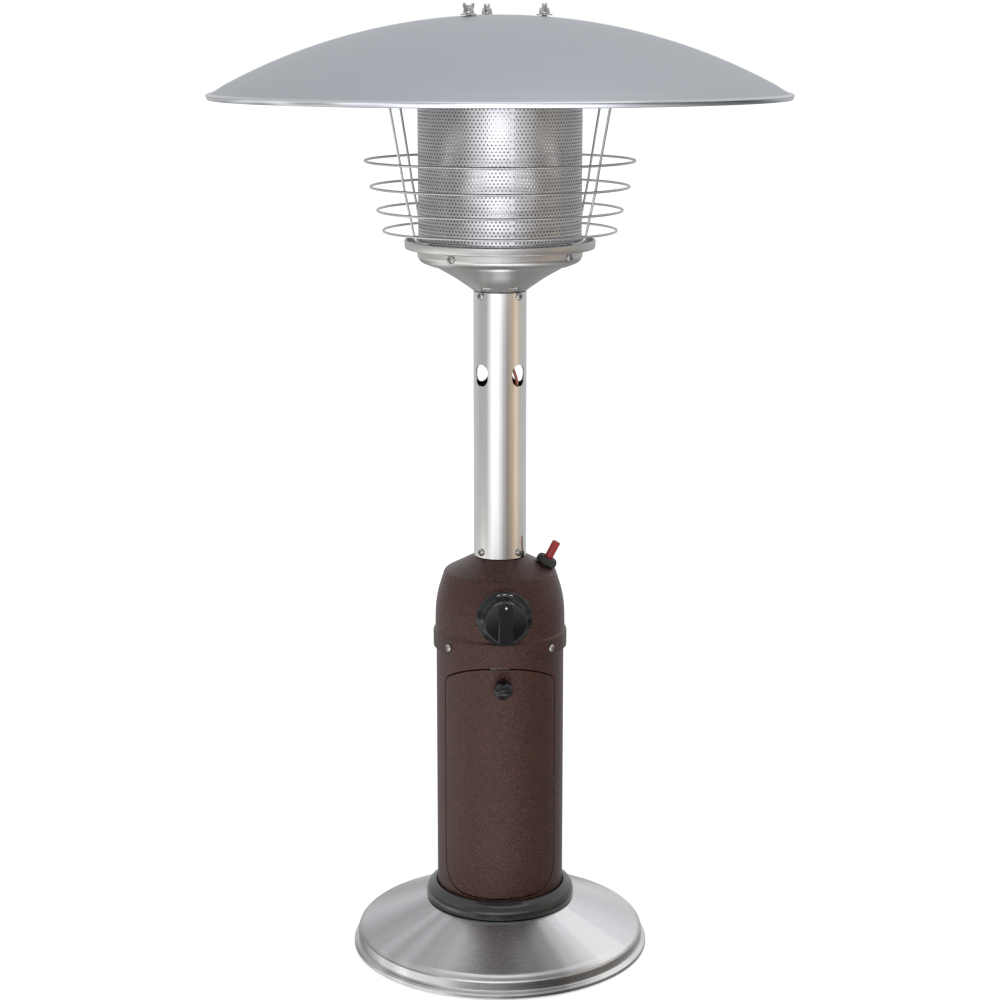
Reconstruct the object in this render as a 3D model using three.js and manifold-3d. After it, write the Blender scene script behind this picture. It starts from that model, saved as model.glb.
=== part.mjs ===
// A table-top gas patio heater: weighted base, gas-bottle housing with a lift-off door,
// valve housing, pole, burner head with a perforated emitter, wire guard and dish reflector.
// Millimetres, +Z up. The origin is on the floor, on the heater's own axis; the door faces -Y.

import * as THREE from 'three';
import { mergeVertices } from 'three/addons/utils/BufferGeometryUtils.js';
import Module from 'manifold-3d';

const wasm = await Module();
wasm.setup();

const clearance = 0.35; // between two pieces that touch or are cut by each other
const sheet = 1.5; // pressed steel of the covers
const ringSteps = 36; // sides of a large round part
const innerSteps = 28; // sides of a large part that the covers hide
const smallSteps = 14; // sides of a small round part

const base = {
  hemRadius: 146.5,
  bandRadius: 142,
  shoulderRadius: 138,
  shoulderHeight: 22,
  topRadius: 74,
  topHeight: 48.5,
  boltCircle: 28,
  boltCount: 3,
};
const collar = { outer: 73.5, inner: 63, top: 65.6 };
const tube = { outer: 62.4, thickness: 1.6, bottom: base.topHeight + clearance, top: 323.8 };
const door = {
  halfArc: 63.2,
  bottom: 67.4,
  top: 300.5,
  topArchRadius: 125,
  topCorner: 6,
  bottomCorner: 26,
  bottomRise: 0.0013,
  gap: 1.2,
  knobHeight: 283,
  knobAzimuth: 2.5,
};
const cover = { skirtRadius: 65.3, skirtBottom: 310, screwHeight: 316.5, screwAzimuth: 49 };
const neck = { outer: 24.05, inner: 22.5 }; // spigot inside each end of the pole
const pole = {
  outer: 25.4,
  inner: 24.4,
  bottom: 399.2,
  top: 656.4,
  windowHeight: 577.5,
  windowWidth: 16,
  windowLength: 21,
  lowScrew: 405.3,
  highScrew: 653.2,
};
const knob = { azimuth: 3.5, height: 353, standOff: 68.4, skirt: 26.75, cap: 19.75, depth: 29, travel: 3 };
const igniter = { lean: 27.1, radius: 44, height: 390, nut: 10.5, bore: 4.5, button: 4.1, reach: 24.5 };
const pan = { band: 78.3, flange: 90.6, bandBottom: 689, flangeHeight: 697, rimTop: 705, screwHeight: 692 };
const panScrewAzimuths = [-35, 55, 145, 235];
const emitter = { radius: 77.2, thickness: 1, bottom: 703.6, top: 867.8 };
const guardRings = [[126.7, 779], [121.6, 755], [115.4, 733], [110, 714]];
const guard = {
  wire: 1.2,
  legAzimuth: 46,
  topRadius: 142.5,
  topHeight: 846,
  footRadius: 88.2,
  footHeight: 706.9,
};
const dish = { radius: 545, top: 912.5, rimRadius: 269.8, rimHeight: 838.5, bead: 3.2, thickness: 1.5 };
const studs = {
  circle: 42,
  azimuths: [-43, 77, 197],
  nutTurns: [66, 97, 80],
  radius: 2.4,
  spacer: 4.6,
  top: 920.5,
};

function finish(color, metalness, roughness) {
  return new THREE.MeshStandardMaterial({ color, metalness, roughness });
}

const bronzePaint = () => finish(0x5c3a30, 0.55, 0.38);
const polishedSteel = () => finish(0xc9cacb, 1, 0.16);
const brushedSteel = () => finish(0xb9babc, 1, 0.34);
const satinSteel = () => finish(0xaeb2b8, 0.9, 0.42);
const zincSteel = () => finish(0xa9abae, 0.9, 0.4);
const darkCollar = () => finish(0x3b3c3a, 0.2, 0.5);
const castIron = () => finish(0x3a3b3d, 0.5, 0.75);
const brass = () => finish(0xb08d4a, 1, 0.35);
const blackPlastic = () => finish(0x1c1f22, 0, 0.3);
const mattBlackPlastic = () => finish(0x24261f, 0, 0.55);
const redPlastic = () => finish(0xc02a33, 0, 0.35);
const rubber = () => finish(0x202020, 0, 0.85);
const aluminium = () => finish(0xb4b5b6, 1, 0.4);
const copper = () => finish(0xb5673f, 1, 0.35);
const ceramic = () => finish(0xe9e4d8, 0, 0.5);
const wireJacket = () => finish(0x9c3b26, 0, 0.55);

const radians = THREE.MathUtils.degToRad;

function asSolid(geometry) {
  const bare = new THREE.BufferGeometry();
  bare.setAttribute('position', geometry.getAttribute('position'));
  bare.setIndex(geometry.index);
  const merged = mergeVertices(bare, 0.0005);
  const points = merged.getAttribute('position');
  const corners = merged.index.array;
  const triangles = [];
  let volume = 0;
  for (let i = 0; i < corners.length; i += 3) {
    const [a, b, c] = [corners[i], corners[i + 1], corners[i + 2]];
    if (a === b || b === c || a === c) {
      continue;
    }
    triangles.push(a, b, c);
    const [p, q, r] = [a, b, c].map((n) => new THREE.Vector3().fromBufferAttribute(points, n));
    volume += p.dot(q.cross(r));
  }
  if (volume < 0) {
    triangles.reverse();
  }
  return new wasm.Manifold(new wasm.Mesh({
    numProp: 3,
    vertProperties: new Float32Array(points.array),
    triVerts: new Uint32Array(triangles),
  }));
}

function asGeometry(solid) {
  const mesh = solid.getMesh();
  const geometry = new THREE.BufferGeometry();
  geometry.setAttribute('position', new THREE.BufferAttribute(new Float32Array(mesh.vertProperties), 3));
  geometry.setIndex(new THREE.BufferAttribute(new Uint32Array(mesh.triVerts), 1));
  return geometry;
}

function cut(geometry, ...tools) {
  let solid = asSolid(geometry);
  for (const tool of tools) {
    solid = solid.subtract(asSolid(tool));
  }
  return asGeometry(solid);
}

function join(geometry, ...others) {
  let solid = asSolid(geometry);
  for (const other of others) {
    solid = solid.add(asSolid(other));
  }
  return asGeometry(solid);
}

function common(geometry, other) {
  return asGeometry(asSolid(geometry).intersect(asSolid(other)));
}

// Turns a list of [radius, height] about Z. A list that starts off the axis closes on itself.
function turned(outline, steps = ringSteps) {
  const points = outline.map(([r, z]) => new THREE.Vector2(r, z));
  if (outline[0][0] > 0) {
    points.push(points[0].clone());
  }
  return new THREE.LatheGeometry(points, steps).rotateX(Math.PI / 2);
}

// Gives a line of [radius, height] a thickness on its left-hand side.
function thickened(line, thickness) {
  const points = line.map(([r, z]) => new THREE.Vector2(r, z));
  const inner = points.map((point, n) => {
    const before = points[Math.max(n - 1, 0)];
    const after = points[Math.min(n + 1, points.length - 1)];
    const arriving = (n > 0 ? point.clone().sub(before) : after.clone().sub(point)).normalize();
    const leaving = (n < points.length - 1 ? after.clone().sub(point) : arriving.clone()).normalize();
    const along = arriving.clone().add(leaving).normalize();
    const reach = thickness / Math.max(along.dot(arriving), 0.5);
    return [point.x - along.y * reach, point.y + along.x * reach];
  });
  return [...line, ...inner.reverse()];
}

// Points of a circular arc in the [radius, height] plane.
function arcLine([r, z], radius, fromDegrees, toDegrees, steps) {
  return Array.from({ length: steps + 1 }, (_, n) => {
    const angle = radians(fromDegrees + ((toDegrees - fromDegrees) * n) / steps);
    return [r + radius * Math.cos(angle), z + radius * Math.sin(angle)];
  });
}

function ring(inner, outer, bottom, top, steps = ringSteps) {
  return turned([[inner, bottom], [outer, bottom], [outer, top], [inner, top]], steps);
}

function disc(radius, bottom, top, steps = smallSteps) {
  return turned([[0, bottom], [radius, bottom], [radius, top], [0, top]], steps);
}

function block(width, depth, height, x = 0, y = 0, z = 0) {
  return new THREE.BoxGeometry(width, depth, height).translate(x, y, z);
}

// Stands a shape built along +Z on its side, so that its +Z points away from the axis.
function outward(geometry, azimuth, radius, height) {
  geometry.translate(0, 0, radius);
  geometry.rotateX(Math.PI / 2);
  geometry.rotateZ(radians(azimuth));
  return geometry.translate(0, 0, height);
}

function around(azimuth, radius, height) {
  const angle = radians(azimuth);
  return new THREE.Vector3(radius * Math.sin(angle), -radius * Math.cos(angle), height);
}

function alongCurve(curve, radius, sides, steps, closed = false) {
  const section = new THREE.Shape();
  for (let n = 0; n < sides; n += 1) {
    const angle = (2 * Math.PI * n) / sides;
    const corner = [radius * Math.cos(angle), radius * Math.sin(angle)];
    if (n === 0) {
      section.moveTo(...corner);
    } else {
      section.lineTo(...corner);
    }
  }
  section.closePath();
  return new THREE.ExtrudeGeometry(section, { steps, extrudePath: curve, bevelEnabled: false, closed });
}

function rodThrough(points, radius, sides, steps) {
  const route = points.map((point) => (point.isVector3 ? point : new THREE.Vector3(...point)));
  return alongCurve(new THREE.CatmullRomCurve3(route, false, 'centripetal'), radius, sides, steps);
}

const heater = new THREE.Group();

function named(name, geometry, material) {
  const mesh = new THREE.Mesh(geometry, material);
  mesh.name = name;
  return mesh;
}

function add(name, geometry, material) {
  heater.add(named(name, geometry, material));
}

// Places a piece built along +Z so that +Z points outward at an azimuth.
function addOutward(name, geometry, material, azimuth, radius, height) {
  const turn = new THREE.Group();
  turn.rotation.z = radians(azimuth);
  turn.position.z = height;
  const piece = named(name, geometry, material);
  piece.rotation.x = Math.PI / 2;
  piece.position.y = -radius;
  turn.add(piece);
  heater.add(turn);
}

// A dome-headed screw, with its head seated at z = 0 and its shank below.
function screwShape(headRadius, headHeight, shankRadius, shankLength) {
  return turned([
    [0, -shankLength],
    [shankRadius, -shankLength],
    [shankRadius, 0],
    [headRadius, 0],
    [headRadius * 0.8, headHeight * 0.7],
    [0, headHeight],
  ], 8);
}

function shankHole(azimuth, radius, height, holeRadius = 2.1, depth = 12) {
  return outward(disc(holeRadius, -depth / 2, depth / 2, 6), azimuth, radius, height);
}

function boltPlaces() {
  const step = 360 / base.boltCount;
  return Array.from({ length: base.boltCount }, (_, n) => around(step * n, base.boltCircle, 0));
}

function boltHoles(radius, bottom, top) {
  return boltPlaces().map((place) => disc(radius, bottom, top, 12).translate(place.x, place.y, 0));
}

function baseShell() {
  const line = [
    [14, base.topHeight],
    [base.topRadius, base.topHeight],
    [base.shoulderRadius, base.shoulderHeight],
    [base.bandRadius, base.shoulderHeight - 4.6],
    [base.bandRadius, 6.4],
    [base.hemRadius - 0.9, 5.6],
    [base.hemRadius, 1.4],
  ];
  const shell = turned(thickened(line.reverse(), 1.4));
  add('base_shell', cut(shell, ...boltHoles(3.5, 30, 60)), brushedSteel());
}

function ballastPlate() {
  const hubTop = base.topHeight - 1.4 - clearance;
  const plate = turned([
    [0, 4],
    [136, 4],
    [136, 11.5],
    [50, 13.5],
    [42, hubTop],
    [0, hubTop],
  ], innerSteps);
  const recesses = boltHoles(8, 0, 12);
  add('ballast_plate', cut(plate, ...boltHoles(3.5, 0, 60), ...recesses), castIron());
}

function footRing() {
  add('foot_ring', ring(112, 130, 0, 4 - clearance, innerSteps), rubber());
}

function baseBolts() {
  boltPlaces().forEach((place, n) => {
    const bolt = turned([
      [0, 6.2],
      [5.6, 6.2],
      [5.6, 11.6],
      [3.1, 11.6],
      [3.1, 54.5],
      [0, 54.5],
    ], 12);
    const mesh = named(`base_bolt_${n + 1}`, bolt, zincSteel());
    mesh.position.set(place.x, place.y, 0);
    heater.add(mesh);
  });
}

function baseCollar() {
  const outline = [
    [collar.inner, base.topHeight + clearance],
    [collar.outer, base.topHeight + clearance],
    ...arcLine([collar.outer - 8.5, collar.top - 8.5], 8.5, 8, 90, 3),
    [collar.inner, collar.top],
  ];
  add('base_collar', turned(outline), darkCollar());
}

// The height of the door's top edge at a distance u round the tube, grown by a margin.
function doorTop(u, margin) {
  const corner = door.topCorner + margin;
  const past = Math.max(Math.abs(u) - (door.halfArc + margin - corner), 0);
  const arch = door.topArchRadius - Math.sqrt(door.topArchRadius ** 2 - u ** 2);
  return door.top + margin - arch - (corner - Math.sqrt(Math.max(corner ** 2 - past ** 2, 0)));
}

function doorBottom(u, margin) {
  const corner = door.bottomCorner + margin;
  const past = Math.max(Math.abs(u) - (door.halfArc + margin - corner), 0);
  const rise = door.bottomRise * u ** 2;
  return door.bottom - margin + rise + (corner - Math.sqrt(Math.max(corner ** 2 - past ** 2, 0)));
}

// A piece of tube wall between two arc lengths, with its own top and bottom edge.
function wallPanel(fromArc, toArc, inner, outer, lowEdge, highEdge, columns) {
  const points = [];
  const corners = [];
  for (let n = 0; n <= columns; n += 1) {
    const share = 0.5 - 0.5 * Math.cos((Math.PI * n) / columns);
    const u = fromArc + (toArc - fromArc) * (0.35 * share + (0.65 * n) / columns);
    const angle = u / tube.outer;
    for (const [radius, height] of [
      [inner, lowEdge(u)],
      [outer, lowEdge(u)],
      [outer, highEdge(u)],
      [inner, highEdge(u)],
    ]) {
      points.push(radius * Math.sin(angle), -radius * Math.cos(angle), height);
    }
  }
  for (let n = 0; n < columns; n += 1) {
    for (let side = 0; side < 4; side += 1) {
      const [a, b] = [4 * n + side, 4 * n + ((side + 1) % 4)];
      corners.push(a, a + 4, b, b, a + 4, b + 4);
    }
  }
  const last = 4 * columns;
  corners.push(0, 1, 2, 0, 2, 3, last, last + 2, last + 1, last, last + 3, last + 2);
  const geometry = new THREE.BufferGeometry();
  geometry.setAttribute('position', new THREE.Float32BufferAttribute(points, 3));
  geometry.setIndex(corners);
  return geometry;
}

function doorOutline(margin, inner, outer) {
  const half = door.halfArc + margin;
  const low = (u) => doorBottom(u, margin);
  const high = (u) => doorTop(u, margin);
  return wallPanel(-half, half, inner, outer, low, high, 24);
}

function coverScrewAzimuths() {
  const a = cover.screwAzimuth;
  return [-a, a, 180 - a, 180 + a];
}

function coverScrewHoles() {
  return coverScrewAzimuths().map((azimuth) => shankHole(azimuth, tube.outer, cover.screwHeight));
}

function cylinderHousing() {
  const wall = ring(tube.outer - tube.thickness, tube.outer, tube.bottom, tube.top);
  const opening = doorOutline(door.gap, tube.outer - 6, tube.outer + 6);
  add('cylinder_housing', cut(wall, opening, ...coverScrewHoles()), bronzePaint());
}

function housingFloor() {
  const outer = tube.outer - tube.thickness - clearance;
  const rimTop = base.topHeight + 3.2;
  const floor = turned([
    [0, base.topHeight + clearance],
    [outer, base.topHeight + clearance],
    [outer, rimTop],
    [outer - 1.4, rimTop],
    [outer - 1.4, base.topHeight + 2],
    [0, base.topHeight + 2],
  ], innerSteps);
  add('housing_floor', cut(floor, ...boltHoles(3.5, 40, 60)), zincSteel());
}

function doorTab(side) {
  const [from, to] = side < 0 ? [-29, -15] : [15, 29];
  const tongue = wallPanel(from, to, 59.2, 60.4, () => 55, () => 71.5, 3);
  const root = wallPanel(from, to, 60, 61.6, () => 69.6, () => 71.5, 3);
  return join(tongue, root);
}

function doorPanel() {
  const panel = doorOutline(0, tube.outer - tube.thickness, tube.outer);
  const whole = join(panel, doorTab(-1), doorTab(1));
  const hole = shankHole(door.knobAzimuth, tube.outer, door.knobHeight, 2.9);
  add('door', cut(whole, hole), bronzePaint());
}

function doorKnob() {
  const outline = [
    [0, -5],
    [2.5, -5],
    [2.5, clearance],
    [5, clearance],
    [5, 2.4],
    [6.6, 3.4],
    ...arcLine([0, 9.2], 9.5, -38, 60, 4),
    [0, 18.4],
  ];
  const shape = turned(outline, 14);
  addOutward('door_knob', shape, blackPlastic(), door.knobAzimuth, tube.outer, door.knobHeight);
}

function doorCatch() {
  const body = block(18, 12, 13, 0, -55, 303.5);
  const bore = disc(tube.outer - tube.thickness - 0.7, 280, 330, ringSteps);
  add('door_catch', common(body, bore), zincSteel());
}

function poleScrewHoles(height) {
  return [45, 135, 225, 315].map((azimuth) => shankHole(azimuth, pole.outer, height));
}

function igniterPlace(geometry) {
  geometry.rotateY(radians(igniter.lean));
  return geometry.translate(igniter.radius, 0, igniter.height);
}

function valveHousing() {
  const line = [
    [cover.skirtRadius, cover.skirtBottom],
    [cover.skirtRadius, 325],
    [63.4, 327],
    [63, 349],
    [60.7, 364],
    [54, 384.6],
    [26.4, 398.8],
    [neck.outer, 399.6],
    [neck.outer, 412],
  ];
  const shell = turned(thickened(line, sheet), 32);
  const knobHole = shankHole(knob.azimuth, tube.outer, knob.height, 6);
  const igniterHole = igniterPlace(disc(7.9, -8, 8, 20));
  const holes = [...coverScrewHoles(), ...poleScrewHoles(pole.lowScrew), knobHole, igniterHole];
  add('valve_housing', cut(shell, ...holes), bronzePaint());
}

function housingScrews() {
  coverScrewAzimuths().forEach((azimuth, n) => {
    const shape = screwShape(3.6, 2.2, 1.65, 7.4);
    const seat = cover.skirtRadius + clearance;
    addOutward(`housing_screw_${n + 1}`, shape, zincSteel(), azimuth, seat, cover.screwHeight);
  });
}

function poleScrews(label, height) {
  [45, 135, 225, 315].forEach((azimuth, n) => {
    const shape = screwShape(3.7, 2.3, 1.65, 4);
    addOutward(`pole_screw_${label}_${n + 1}`, shape, zincSteel(), azimuth, pole.outer + clearance, height);
  });
}

function valveBracket() {
  const outer = tube.outer - tube.thickness - clearance;
  const plate = turned([
    [0, 306.4],
    [outer, 306.4],
    [outer, 322],
    [outer - 1.4, 322],
    [outer - 1.4, 308],
    [0, 308],
  ], innerSteps);
  const catchRoom = block(22, 20, 10, 0, -57, 307);
  const inletHole = disc(8, 300, 312, 16);
  const tools = [catchRoom, inletHole, ...coverScrewHoles()];
  add('valve_bracket', cut(plate, ...tools), zincSteel());
}

function regulator() {
  const body = turned([
    [0, 281],
    [12.8, 281],
    [12.8, 262],
    [16, 262],
    [16, 286],
    [31, 289],
    [31, 298],
    [12, 303],
    [6.5, 304],
    [6.5, 329.6],
    [0, 329.6],
  ], 20);
  add('regulator', body, brass());
}

function controlValve() {
  const lower = block(26, 26, 34, 0, -6, 347);
  const snout = disc(9, 0, 30, 16).rotateX(Math.PI / 2).translate(0, -15, knob.height);
  const nose = snout.rotateZ(radians(knob.azimuth));
  const bore = outward(disc(4.2, -4, 40, 12), knob.azimuth, 20, knob.height);
  const outlet = disc(5, 360, 371, 12).translate(0, -4, 0);
  add('control_valve', cut(join(lower, nose, outlet), bore), brass());
}

function knobShape() {
  const body = turned([
    [0, 0],
    [knob.skirt, 0],
    [knob.skirt, 3],
    [knob.cap + 1.6, 6.4],
    [knob.cap, knob.depth - 6.2],
    [0, knob.depth - 6.2],
  ], 28);
  const bar = block(16.5, 2 * knob.cap - 1.6, 12, 0, 0, knob.depth - 6);
  const round = disc(knob.cap, 0, knob.depth, 28);
  const bore = disc(3.4, -2, 14, 12);
  return cut(join(body, common(bar, round)), bore);
}

function controlKnob() {
  addOutward('control_knob', knobShape(), blackPlastic(), knob.azimuth, knob.standOff, knob.height);
}

function valveSpindle() {
  const shape = turned([[0, -36], [3, -36], [3, 12.6], [0, 12.6]], 12);
  addOutward('valve_spindle', shape, zincSteel(), knob.azimuth, knob.standOff, knob.height);
}

function valvePushPin() {
  const shape = turned([[0, -45.5], [3.4, -45.5], [3.4, -36.5], [0, -36.5]], 12);
  addOutward('valve_push_pin', shape, brass(), knob.azimuth, knob.standOff, knob.height);
}

function igniterBody() {
  const body = turned([
    [0, -40],
    [8.6, -40],
    [8.6, -3.4],
    [7.4, -3.2],
    [7.4, 6.4],
    [igniter.bore, 6.4],
    [igniter.bore, -18],
    [0, -18],
  ], smallSteps);
  add('igniter_body', igniterPlace(body), mattBlackPlastic());
}

function igniterNut() {
  const hexagon = turned([
    [7.8, 0.8],
    [igniter.nut, 0.8],
    [igniter.nut, 5.4],
    [igniter.nut - 1.4, 7.4],
    [7.8, 7.4],
  ], 12);
  add('igniter_nut', igniterPlace(hexagon), mattBlackPlastic());
}

function igniterButton() {
  const button = turned([
    [0, -11],
    [igniter.button, -11],
    [igniter.button, igniter.reach],
    [0, igniter.reach],
  ], smallSteps);
  add('igniter_button', igniterPlace(button), redPlastic());
}

function tiltSwitch() {
  const box = block(20, 15, 24, -30, 20, 320.4);
  const cap = disc(5, 332, 338, 12).translate(-30, 20, 0);
  add('tilt_switch', join(box, cap), mattBlackPlastic());
}

// A round-ended slot through the wall, longer along the pole.
function windowCutter(azimuth) {
  const radius = pole.windowWidth / 2;
  const straight = (pole.windowLength - pole.windowWidth) / 2;
  const outline = new THREE.Shape();
  outline.absarc(0, straight, radius, 0, Math.PI, false);
  outline.absarc(0, -straight, radius, Math.PI, 2 * Math.PI, false);
  const plug = new THREE.ExtrudeGeometry(outline, { depth: 14, bevelEnabled: false, curveSegments: 4 });
  return outward(plug, azimuth, 16, pole.windowHeight);
}

function poleTube() {
  const wall = ring(pole.inner, pole.outer, pole.bottom + 0.6, pole.top, innerSteps);
  const windows = [45, 135, 225, 315].map(windowCutter);
  const holes = [...poleScrewHoles(pole.lowScrew), ...poleScrewHoles(pole.highScrew)];
  add('pole', cut(wall, ...windows, ...holes), polishedSteel());
}

function gasTube() {
  const route = [[0, -4, 371.4], [0, -4, 380], [0, -2, 394], [0, 0, 410], [0, 0, 540], [0, 0, 662.4]];
  add('gas_tube', rodThrough(route, 3.2, 8, 12), aluminium());
}

function igniterWire() {
  const start = new THREE.Vector3(0, 0, -40.6);
  start.applyAxisAngle(new THREE.Vector3(0, 1, 0), radians(igniter.lean));
  start.add(new THREE.Vector3(igniter.radius, 0, igniter.height));
  const route = [
    start,
    [21, 1, 348],
    [17, 4, 352],
    [15.5, 3, 368],
    [11, -8, 392],
    [10, -10, 412],
    [10, -10, 520],
    [9, -11, 548],
    [15.2, -14.2, 566],
    [15.6, -14.6, 574],
    [11.8, -14.2, 586],
    [9, -11, 604],
    [10, -10, 624],
    [10, -10, 650],
    [13, -12, 664],
    [34, -16, 682],
    [50, -17, 692],
    [52, -17, 698.6],
  ];
  add('igniter_wire', rodThrough(route, 1.5, 5, 44), wireJacket());
}

function thermocoupleLead() {
  const route = [
    [-13.5, 0, 352],
    [-19, 2, 354],
    [-19, 5, 370],
    [-13, 8, 392],
    [-10, 9, 412],
    [-10, 9, 540],
    [-10, 9, 650],
    [-13, 11, 664],
    [-34, 13, 681],
    [-52, 14, 689],
    [-56, 14, 696],
    [-56, 14, 716],
  ];
  add('thermocouple_lead', rodThrough(route, 1.3, 5, 26), copper());
}

function panScrewHoles() {
  return panScrewAzimuths.map((azimuth) => shankHole(azimuth, pan.band - 1, pan.screwHeight));
}

function headPan() {
  const line = [
    [66.8, 681.2],
    [75.4, 685],
    [pan.band, pan.bandBottom],
    [pan.band, pan.flangeHeight],
    [pan.flange - 1, pan.flangeHeight],
    [pan.flange, pan.flangeHeight + 2],
    [pan.flange, pan.rimTop],
  ];
  add('head_pan', cut(turned(thickened(line, 1.3), innerSteps), ...panScrewHoles()), brushedSteel());
}

function headFunnel() {
  const line = [
    [neck.outer, 645],
    [neck.outer, 656.6],
    [25.9, 657.5],
    [42, 669],
    [64.8, 681.9],
    [73.4, 687.8],
    [76.4, 690.8],
    [76.4, 695.8],
  ];
  const holes = [...panScrewHoles(), ...poleScrewHoles(pole.highScrew)];
  const slots = Array.from({ length: 8 }, (_, n) => {
    return outward(block(9, 3, 16), 22.5 + 45 * n, 32, 664.6);
  });
  add('head_funnel', cut(turned(thickened(line, 1.2), innerSteps), ...holes, ...slots), brushedSteel());
}

function headScrews() {
  panScrewAzimuths.forEach((azimuth, n) => {
    const shape = screwShape(3.9, 2.4, 1.65, 5.4);
    addOutward(`head_screw_${n + 1}`, shape, zincSteel(), azimuth, pan.band + clearance, pan.screwHeight);
  });
}

function emitterScreen() {
  const wall = ring(emitter.radius - emitter.thickness, emitter.radius, emitter.bottom, emitter.top);
  const seam = wallPanel(7.8, 13.4, emitter.radius - 0.4, emitter.radius + 0.7, () => 704, () => 867, 2);
  add('emitter_screen', join(wall, seam), brushedSteel());
}

function emitterTop() {
  const cap = turned([
    [0, 868.4],
    [emitter.radius + 1.2, 868.4],
    [emitter.radius + 1.2, 858],
    [emitter.radius + 2.4, 858],
    [emitter.radius + 2.4, 869.8],
    [0, 869.8],
  ]);
  const posts = studs.azimuths.map((azimuth) => {
    const place = around(azimuth, studs.circle, 0);
    return turned([
      [0, 869],
      [studs.spacer, 869],
      [studs.spacer, 908.6],
      [studs.radius, 908.6],
      [studs.radius, studs.top],
      [0, studs.top],
    ], 10).translate(place.x, place.y, 0);
  });
  add('emitter_top', join(cap, ...posts), zincSteel());
}

function burnerCup() {
  const outline = [
    [11, 690.4],
    [16, 692],
    [47.4, 698],
    [47.4, 716],
    [0, 722],
    [0, 720.6],
    [46, 714.8],
    [46, 700],
    [15, 694.6],
    [11, 694.6],
  ];
  const points = [...outline, outline[0]].map(([r, z]) => new THREE.Vector2(r, z));
  add('burner_cup', new THREE.LatheGeometry(points, smallSteps).rotateX(Math.PI / 2), zincSteel());
}

function mixerTube() {
  const outline = [
    [8.4, 674],
    [10.4, 674],
    [8.4, 682],
    [10.6, 690],
    [10.6, 699],
    [9, 699],
    [9, 690.6],
    [6.8, 682],
  ];
  add('mixer_tube', turned(outline, smallSteps), castIron());
}

function jet() {
  const body = turned([[0, 662.8], [5, 662.8], [5, 668], [3, 672], [0, 672]], 12);
  add('jet', body, brass());
}

function pilotBurner() {
  const bracket = block(14, 10, 2, -57, 1, 699.4);
  const nozzle = disc(3.4, 699, 714, 12).translate(-57, -0.4, 0);
  add('pilot_burner', join(bracket, nozzle), zincSteel());
}

function electrode() {
  const insulator = disc(3, 699, 713, 12).translate(52, -17, 0);
  const tip = disc(1, 712, 724, 8).translate(52, -17, 0);
  add('electrode', join(insulator, tip), ceramic());
}

function guardLeg(azimuth) {
  const inset = 2 * guard.wire - 0.5;
  const route = [
    around(azimuth, guard.topRadius - inset, guard.topHeight + 2),
    ...guardRings.map(([radius, height]) => around(azimuth, radius - inset, height)),
    around(azimuth, guardRings[3][0] - 7, guardRings[3][1] - 5),
    around(azimuth, guard.footRadius + 7, guard.footHeight + 0.5),
    around(azimuth, guard.footRadius, guard.footHeight),
  ];
  return rodThrough(route, guard.wire, 4, 15);
}

function guardRing([radius, height]) {
  return new THREE.TorusGeometry(radius, guard.wire, 4, innerSteps).translate(0, 0, height);
}

function wireGuard() {
  const rings = [...guardRings, [guard.topRadius, guard.topHeight]].map(guardRing);
  const legAzimuths = [guard.legAzimuth, 180 - guard.legAzimuth, 180 + guard.legAzimuth, -guard.legAzimuth];
  add('wire_guard', join(...rings, ...legAzimuths.map(guardLeg)), polishedSteel());
}

function dishHeight(r) {
  return dish.top - (dish.radius - Math.sqrt(dish.radius ** 2 - r ** 2));
}

function reflector() {
  const domeSteps = 6;
  const dome = Array.from({ length: domeSteps + 1 }, (_, n) => {
    const r = (256 * n) / domeSteps;
    return [r, dishHeight(r)];
  });
  const under = dome.map(([r, z]) => [r * (1 - dish.thickness / dish.radius), z - dish.thickness]);
  const bead = arcLine([dish.rimRadius, dish.rimHeight], dish.bead, 110, -150, 4);
  const outline = [...dome, [262, 844.6], [266.6, 842.2], ...bead, [264.6, 840.6], ...under.reverse()];
  const holes = studs.azimuths.map((azimuth) => {
    const place = around(azimuth, studs.circle, 0);
    return disc(studs.radius + 0.5, 890, 930, 12).translate(place.x, place.y, 0);
  });
  add('reflector', cut(turned(outline), ...holes), satinSteel());
}

function wingNutShape() {
  const hub = turned([[2.9, 0], [5.2, 0], [4.4, 5], [2.9, 5]], 10);
  const wing = (side) => {
    const outline = new THREE.Shape();
    outline.moveTo(3.6, 1);
    outline.lineTo(9.5, 4.4);
    outline.lineTo(11.4, 9);
    outline.lineTo(8.6, 9.8);
    outline.lineTo(3.6, 4.6);
    outline.closePath();
    const blade = new THREE.ExtrudeGeometry(outline, { depth: 1.8, bevelEnabled: false, curveSegments: 4 });
    return blade.translate(0, 0, -0.9).rotateX(Math.PI / 2).rotateZ(side < 0 ? Math.PI : 0);
  };
  return join(hub, wing(-1), wing(1));
}

function reflectorFasteners() {
  studs.azimuths.forEach((azimuth, n) => {
    const place = around(azimuth, studs.circle, dishHeight(studs.circle) + 0.9);
    const washer = named(`washer_${n + 1}`, ring(2.9, 7.5, 0, 1.1, 10), zincSteel());
    washer.position.copy(place);
    const nut = named(`wing_nut_${n + 1}`, wingNutShape(), zincSteel());
    nut.position.copy(place);
    nut.position.z += 1.1 + clearance;
    nut.rotation.z = radians(studs.nutTurns[n]);
    heater.add(washer, nut);
  });
}

footRing();
ballastPlate();
baseShell();
baseBolts();
baseCollar();

housingFloor();
cylinderHousing();
doorPanel();
doorKnob();
doorCatch();

valveHousing();
housingScrews();
valveBracket();
regulator();
controlValve();
controlKnob();
valveSpindle();
valvePushPin();
igniterBody();
igniterNut();
igniterButton();
tiltSwitch();

poleTube();
poleScrews('low', pole.lowScrew);
poleScrews('top', pole.highScrew);
gasTube();
igniterWire();
thermocoupleLead();

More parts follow.
